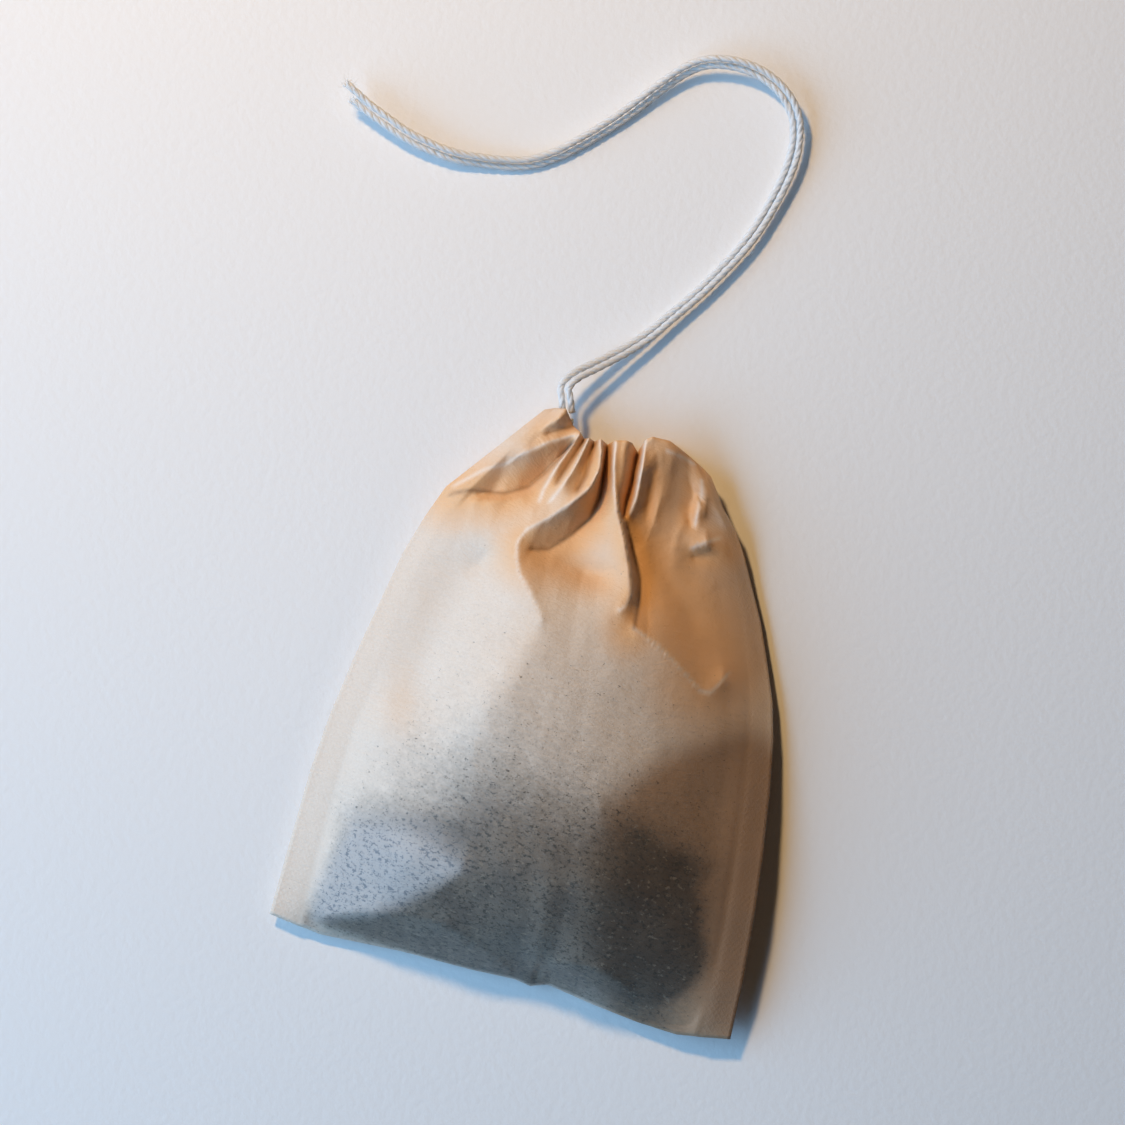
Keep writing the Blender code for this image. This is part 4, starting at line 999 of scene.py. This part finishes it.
def read_pattern(plan, seed, scale, stretch, pattern):
    """Read a pattern of noise at each mesh point."""
    out = np.zeros(plan.shape[:2])
    for i, j in np.ndindex(out.shape):
        out[i, j] = pattern(Vector((*(plan[i, j] * scale * stretch), seed)))
    return out


def crumple(plan, seed, scale):
    """Small shallow wrinkles at each mesh point, between -1 and 1."""
    return read_pattern(plan, seed, scale, (1.0, 1.0), lambda spot: noise.fractal(spot, 0.9, 2.1, 3))


def creasing(plan, seed, scale):
    """Sharp little ridges between flat facets, as in paper that has been squeezed."""
    return read_pattern(plan, seed, scale, (1.3, 0.7),
                        lambda spot: noise.ridged_multi_fractal(spot, 1.0, 2.2, 2, 1.0, 1.6) - 1.0)


def front_heights(plan, s, t):
    """The front's heights between its folds, rounded off but for the crisp ones."""
    known = edge_heights(s, t, FRONT_HEIGHT)
    crisp = ~np.isnan(known)
    for line in CRISP_FOLDS.values():
        for spot in snap_to_fold(plan, known, placed(line)):
            crisp[spot] = True
    for line in SOFT_FOLDS.values():
        snap_to_fold(plan, known, placed(line), move=False)
    front = stretch_between(plan, known, PRESSURE)
    gathered = plan[..., 1] - SHIFT[1] > GATHER_FROM
    front = soften(front, crisp | gathered, SOFTEN_BODY)
    front = soften(front, crisp, SOFTEN_FRONT)
    front = blur(front, 1)
    away_from_seals = np.ones_like(crisp)
    away_from_seals[SEAM_COLUMNS - BESIDE_OUT:SEAM_COLUMNS + BESIDE_IN, 1:-1] = False
    away_from_seals[-SEAM_COLUMNS - BESIDE_IN:BESIDE_OUT - SEAM_COLUMNS, 1:-1] = False
    return soften(front, away_from_seals, SOFTEN_SEALS)


def back_heights(plan, s, t):
    """The back's heights: flat where the bag lies, with shallow pleats toward the mouth."""
    known = edge_heights(s, t, BACK_HEIGHT)
    for line in BACK_FOLDS.values():
        snap_to_fold(plan, known, placed(line), move=False)
    known[inside(plan, REST_PATCH)] = 0.0
    back = stretch_between(plan, known, 0.0)
    return np.maximum(soften(back, known == 0.0, SOFTEN_BACK), 0.0)


def wrinkles(plan):
    """Fine wrinkles all over, and sharper creases near the mouth, but none on the seams."""
    ripple = sum(crumple(plan, seed, scale) * height for seed, scale, height in WRINKLES)
    near_mouth = np.clip((plan[..., 1] - SHIFT[1] - CREASED_FROM) / CREASED_OVER, 0.0, 1.0)
    ripple = ripple + creasing(plan, 5.3, CREASES_PER_METRE) * CREASE_HEIGHT * near_mouth
    free = np.ones(ripple.shape)
    for k in range(SEAM_COLUMNS + WRINKLES_OVER):
        free[[k, -1 - k]] = max(0.0, (k - SEAM_COLUMNS) / WRINKLES_OVER)
    free[:, 0] = 0.0
    return ripple * free


def paper_layers():
    """Shares across and along the paper, its plan, and the heights of its four faces."""
    s = column_shares()
    t = np.linspace(0.0, 1.0, ROWS + 1)
    plan = panel_plan(s, t)
    front = front_heights(plan, s, t)
    back = back_heights(plan, s, t)
    front = front + wrinkles(plan)
    middle = 0.5 * (front + back)
    seam = np.zeros(front.shape, dtype=bool)
    seam[:SEAM_COLUMNS + 1] = True
    seam[-SEAM_COLUMNS - 1:] = True
    seam[:, 0] = True
    wall = np.where((1 - t)[None, :] * FLAT_LENGTH < HEM_HEIGHT, HEM_WALL, WALL)
    front_out = np.where(seam, middle + WALL, np.maximum(front, back + SMALLEST_GAP))
    back_out = np.where(seam, np.maximum(middle - WALL, 0.0), back)
    halfway = 0.5 * (front_out + back_out)
    room = ~seam
    room[:, 1] = False
    front_in = np.where(room, front_out - wall * slope_stretch(plan, front_out), halfway)
    back_in = np.where(room, back_out + wall, halfway)
    front_in = np.where(room, np.maximum(front_in, back_in + 0.2 * WALL), front_in)
    return s, t, plan, (front_out, front_in, back_in, back_out)


def slope_stretch(plan, heights):
    """How much taller the paper is than thick where it runs steeply."""
    across = np.gradient(heights, axis=0) / np.maximum(np.abs(np.gradient(plan[..., 0], axis=0)), 5e-5)
    return np.clip(np.sqrt(1 + across ** 2), 1.0, 2.5)


def tea_shown(plan, s):
    """How much tea shows: all of it inside the heap's outline, and dust thinning out above it."""
    high = (plan[..., 1] - SHIFT[1]) / MM
    wide = (plan[..., 0] - SHIFT[0]) / MM
    left = np.interp(wide, (2.0, 14.0), (1.0, 0.0))
    soft = 0.0017 + (0.0012 + 0.003 * left) * np.clip((high - 12.0) / 9.0, 0.0, 1.0)
    tea = patch_share(plan, TEA_OUTLINE, soft)
    dust = np.interp(high, DUST_AT, DUST) * np.clip((30.0 - np.abs(wide)) / 7.0, 0.0, 1.0)
    dust = dust * np.interp(wide, (-24.0, -8.0, 6.0, 14.0), (0.35, 1.0, 1.0, 0.70))
    tea = np.maximum(tea * np.maximum(1 - left, np.interp(high, DUST_AT, DUST)), dust)
    above_fold = high - along(placed(BOTTOM_FOLD), s)[:, 1][:, None] / MM + SHIFT[1] / MM
    return blur(tea, 5) * np.interp(above_fold, (-0.2, 0.5), (0.3, 1.0))


def pale_share(plan):
    """The pale swollen patch, with a softer edge at its top."""
    high = (plan[..., 1] - SHIFT[1]) / MM
    soft = 0.0011 + 0.0019 * np.interp(high, (15.0, 18.0), (0.0, 1.0))
    return blur(patch_share(plan, PALE_PATCH, soft), 2)


def near_folds(plan, names, reach):
    """1 on the named folds, and 0 from a reach away."""
    share = np.zeros(plan.shape[:2])
    for name in names:
        gap = distance_to_line(plan, placed(CRISP_FOLDS[name]))
        share = np.maximum(share, np.clip(1.0 - gap / reach, 0.0, 1.0))
    return share


def painted_glow_share(plan):
    """Where the shade of folds is painted amber, standing in for light passed through the paper."""
    painted_glow = np.zeros(plan.shape[:2])
    for name, reach, strength in PAINTED_GLOW_ZONES:
        gap = distance_to_line(plan, placed({**CRISP_FOLDS, **SOFT_FOLDS}[name]))
        painted_glow = np.maximum(painted_glow, strength * np.clip(1.35 - 1.35 * gap / (reach * MM), 0.0, 1.0))
    return blur(painted_glow, 4)


def looks(plan, s, t):
    """What the paper's material reads at each mesh point, by name."""
    # Painted shade over the right flank and, less strongly, right of the mouth
    painted_shade = np.maximum(patch_share(plan, SHADED_SIDE, 0.002), 0.45 * patch_share(plan, SHADED_MOUTH, 0.0012))
    from_side = np.minimum(s, 1 - s)[:, None] * FLAT_WIDTH + 0 * t[None, :]
    from_mouth = (1 - t)[None, :] * FLAT_LENGTH + 0 * s[:, None]
    return {"tea": tea_shown(plan, s),
            "pale": pale_share(plan),
            "painted_shade": blur(painted_shade, 4),
            "ridge_highlight": near_folds(plan, WORN_AND_HIGHLIGHTED_FOLDS, HIGHLIGHT_REACH),
            "crease_shade": near_folds(plan, SHADED_CREASES, CREASE_SHADE_REACH),
            "seam": np.clip((SIDE_SEAL - from_side) / LAYER_EDGE + 0.5, 0.0, 1.0),
            "hem": np.clip((HEM_HEIGHT - from_mouth) / LAYER_EDGE + 0.5, 0.0, 1.0),
            "painted_glow": painted_glow_share(plan)}


def triangulate(bm, sheet, columns, rows, shared=()):
    """Cover a grid of vertices with triangles, but for those wholly among shared vertices."""
    made = []
    for i in columns:
        for j in rows:
            for keys in (((i, j), (i + 1, j), (i + 1, j + 1)), ((i, j), (i + 1, j + 1), (i, j + 1))):
                points = [sheet[key] for key in keys]
                if not all(p in shared for p in points):
                    face = bm.faces.new(points)
                    face.smooth = True
                    made.append((face, keys))
    return made


def tidy_faces(bm):
    """Drop vertices that no face uses, and turn every face outward."""
    bmesh.ops.delete(bm, geom=[v for v in bm.verts if not v.link_faces], context="VERTS")
    bmesh.ops.recalc_face_normals(bm, faces=bm.faces)


def build_paper(material):
    """The bag: two outer faces, two inner faces, and the rim that joins them at the mouth."""
    s, t, plan, (front_out, front_in, back_in, back_out) = paper_layers()
    values = looks(plan, s, t)
    last_i, last_j = len(s) - 1, len(t) - 1
    first, last = SEAM_COLUMNS, last_i - SEAM_COLUMNS
    bm = bmesh.new()
    uv = bm.loops.layers.uv.new("sheet")
    layers = {name: bm.verts.layers.float.new(name) for name in values}

    def vertex(i, j, height, on_back):
        v = bm.verts.new((*plan[i, j], height[i, j]))
        for name, layer in layers.items():
            share = 0.55 if on_back and name == "tea" else 1.0
            v[layer] = float(values[name][i, j]) * share
        return v

    grid = [(i, j) for i in range(last_i + 1) for j in range(last_j + 1)]
    front = {(i, j): vertex(i, j, front_out, False) for i, j in grid}
    back = {(i, j): vertex(i, j, back_out, True) for i, j in grid}
    upper, lower, shared = {}, {}, set()
    for i in range(first, last + 1):
        for j in range(1, last_j + 1):
            upper[i, j] = vertex(i, j, front_in, False)
            if i in (first, last) or j == 1:
                lower[i, j] = upper[i, j]
                shared.add(upper[i, j])
            else:
                lower[i, j] = vertex(i, j, back_in, True)
    faces = []
    for sheet in (front, back):
        faces += triangulate(bm, sheet, range(last_i), range(last_j))
    for sheet in (upper, lower):
        faces += triangulate(bm, sheet, range(first, last), range(1, last_j), shared)
    for face, keys in faces:
        for loop, (i, j) in zip(face.loops, keys):
            loop[uv].uv = (s[i] * FLAT_WIDTH * UV_PER_METRE, t[j] * FLAT_LENGTH * UV_PER_METRE)
    for j in range(last_j):
        for i in (0, last_i):
            bm.faces.new((front[i, j], front[i, j + 1], back[i, j + 1], back[i, j]))
    for i in range(last_i):
        bm.faces.new((front[i, 0], front[i + 1, 0], back[i + 1, 0], back[i, 0]))
    for i in range(first, last):
        for outer, inner in ((front, upper), (back, lower)):
            bm.faces.new((outer[i, last_j], outer[i + 1, last_j], inner[i + 1, last_j], inner[i, last_j]))
    for columns, seam in ((range(0, first + 1), first), (range(last_i, last - 1, -1), last)):
        ends = [front[i, last_j] for i in columns] + [upper[seam, last_j]]
        bm.faces.new(ends + [back[i, last_j] for i in reversed(columns)])
    tidy_faces(bm)
    bag = mesh_piece("paper_bag", bm, material)
    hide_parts("filter_bag")
    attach(bag, "root")
    return s, t, plan, front_in, back_in


# Tea

def leaf_tree():
    """Broken leaf: small rolled bits strewn over the heap."""
    tree, given, end = new_scatter("leaf_bits", (("Bits per area", "NodeSocketFloat"),
                                                 ("Length", "NodeSocketFloat"),
                                                 ("Seed", "NodeSocketInt"),
                                                 ("Material", "NodeSocketMaterial")))
    length, seed = given["Length"], given["Seed"]
    spread = add_node(tree, "GeometryNodeDistributePointsOnFaces",
                      {"Mesh": given["Surface"], "Density": given["Bits per area"], "Seed": seed})
    bit = add_node(tree, "GeometryNodeMeshCone",
                   {"Vertices": 5, "Side Segments": 1, "Fill Segments": 1, "Depth": length,
                    "Radius Top": times(tree, length, 0.10),
                    "Radius Bottom": times(tree, length, 0.22)}, fill_type="NGON")
    turned = turned_at_random(tree, spread.outputs["Rotation"], (0.0, 0.0, -math.pi),
                              (0.0, 0.0, math.pi), seed)
    laid = turned_at_random(tree, turned, (1.2, -0.3, -math.pi), (1.9, 0.3, math.pi), seed)
    sizes = random_between(tree, (0.4, 0.4, 0.4), (1.0, 1.0, 1.0), seed)
    scatter(tree, given, end, spread.outputs["Points"], laid, bit.outputs["Mesh"], sizes)
    return tree


def build_tea(s, t, plan, front_in, back_in):
    """The heap of tea: a lumpy body under the paper, and leaf grains strewn over it."""
    bm = bmesh.new()
    low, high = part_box("tea_leaves")
    step = 2
    rows = [j for j in range(4, len(t), step) if plan[len(s) // 2, j, 1] < high[1]]
    columns = [i for i in range(0, len(s), step) if low[0] < plan[i, len(t) // 6, 0] < high[0]]
    upper, lower = {}, {}
    for a, i in enumerate(columns):
        for b, j in enumerate(rows):
            across = abs(2 * a / (len(columns) - 1) - 1)
            up = b / (len(rows) - 1)
            full = math.sqrt(max(0.0, 1 - up ** 4)) * min(1.0, 0.35 + 4 * up) * (1 - across ** 6)
            floor = back_in[i, j] + TEA_OVER_BACK
            roof = front_in[i, j] - TEA_UNDER_FRONT
            spot = Vector((*(plan[i, j] * LUMPS_PER_METRE), 1.0))
            lump = TEA_LUMPS * noise.fractal(spot, 0.8, 2.0, 3)
            top = floor + max(roof - floor, 0.0) * TEA_FILLS * full + lump * full
            edge = a in (0, len(columns) - 1) or b in (0, len(rows) - 1)
            upper[a, b] = bm.verts.new((*plan[i, j], floor + TEA_EDGE if edge else min(top, roof)))
            lower[a, b] = upper[a, b] if edge else bm.verts.new((*plan[i, j], floor))
    rim = {upper[key] for key in upper if upper[key] is lower[key]}
    for sheet in (upper, lower):
        triangulate(bm, sheet, range(len(columns) - 1), range(len(rows) - 1), rim)
    tidy_faces(bm)
    heap = mesh_piece("tea_heap", bm, tea_material("dried_tea", HEAP_DARK, HEAP_PALE))
    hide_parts("tea_leaves")
    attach(heap, "root")
    bits = strew("leaf_bits", heap, leaf_tree(),
                 {"Bits per area": LEAF_BITS_PER_AREA, "Length": LEAF_BIT_LENGTH, "Seed": 5,
                  "Material": tea_material("broken_leaf", LEAF_DARK, LEAF_PALE)})
    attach(bits, "root")


# Floor and lights

def add_floor():
    """The surface that the bag lies on."""
    bm = bmesh.new()
    bmesh.ops.create_grid(bm, x_segments=1, y_segments=1, size=1.5)
    floor = mesh_piece("floor", bm, floor_material())
    floor.location.z = -0.00002


def add_light(name, comes_from, rise, distance, size, power, colour):
    """A soft lamp, by the direction right and down in the photograph that it comes from."""
    data = bpy.data.lights.new(name, "AREA")
    data.shape = "RECTANGLE"
    data.size, data.size_y = size
    data.energy = power
    data.color = colour
    lamp = link(name, data)
    rise = math.radians(rise)
    toward = photo_step(*comes_from).normalized() * math.cos(rise) + Vector((0.0, 0.0, math.sin(rise)))
    lamp.location = pixel_to_frame(PHOTO_PIXELS / 2, PHOTO_PIXELS / 2) + toward * distance
    lamp.rotation_euler = toward.to_track_quat("Z", "Y").to_euler()


def add_lights():
    """A small warm lamp from the top left, a broad cool window from the left, and faint fill."""
    add_light("warm_lamp", comes_from=(-0.46, -0.89), rise=47.0, distance=0.46, size=(0.045, 0.045),
              power=1.38, colour=(1.0, 0.64, 0.29))
    add_light("cool_window", comes_from=(-0.99, 0.08), rise=33.0, distance=0.76, size=(0.95, 0.72),
              power=9.7, colour=(0.33, 0.63, 0.97))
    world = bpy.data.worlds.new("studio")
    world.use_nodes = True
    fill(world.node_tree, world.node_tree.nodes["Background"], {0: (1.0, 0.72, 0.50), 1: 0.045})
    bpy.context.scene.world = world
    bpy.context.scene.view_settings.view_transform = "Standard"


add_camera()
add_strings(cotton_material())
build_tea(*build_paper(paper_material()))
add_floor()
add_lights()
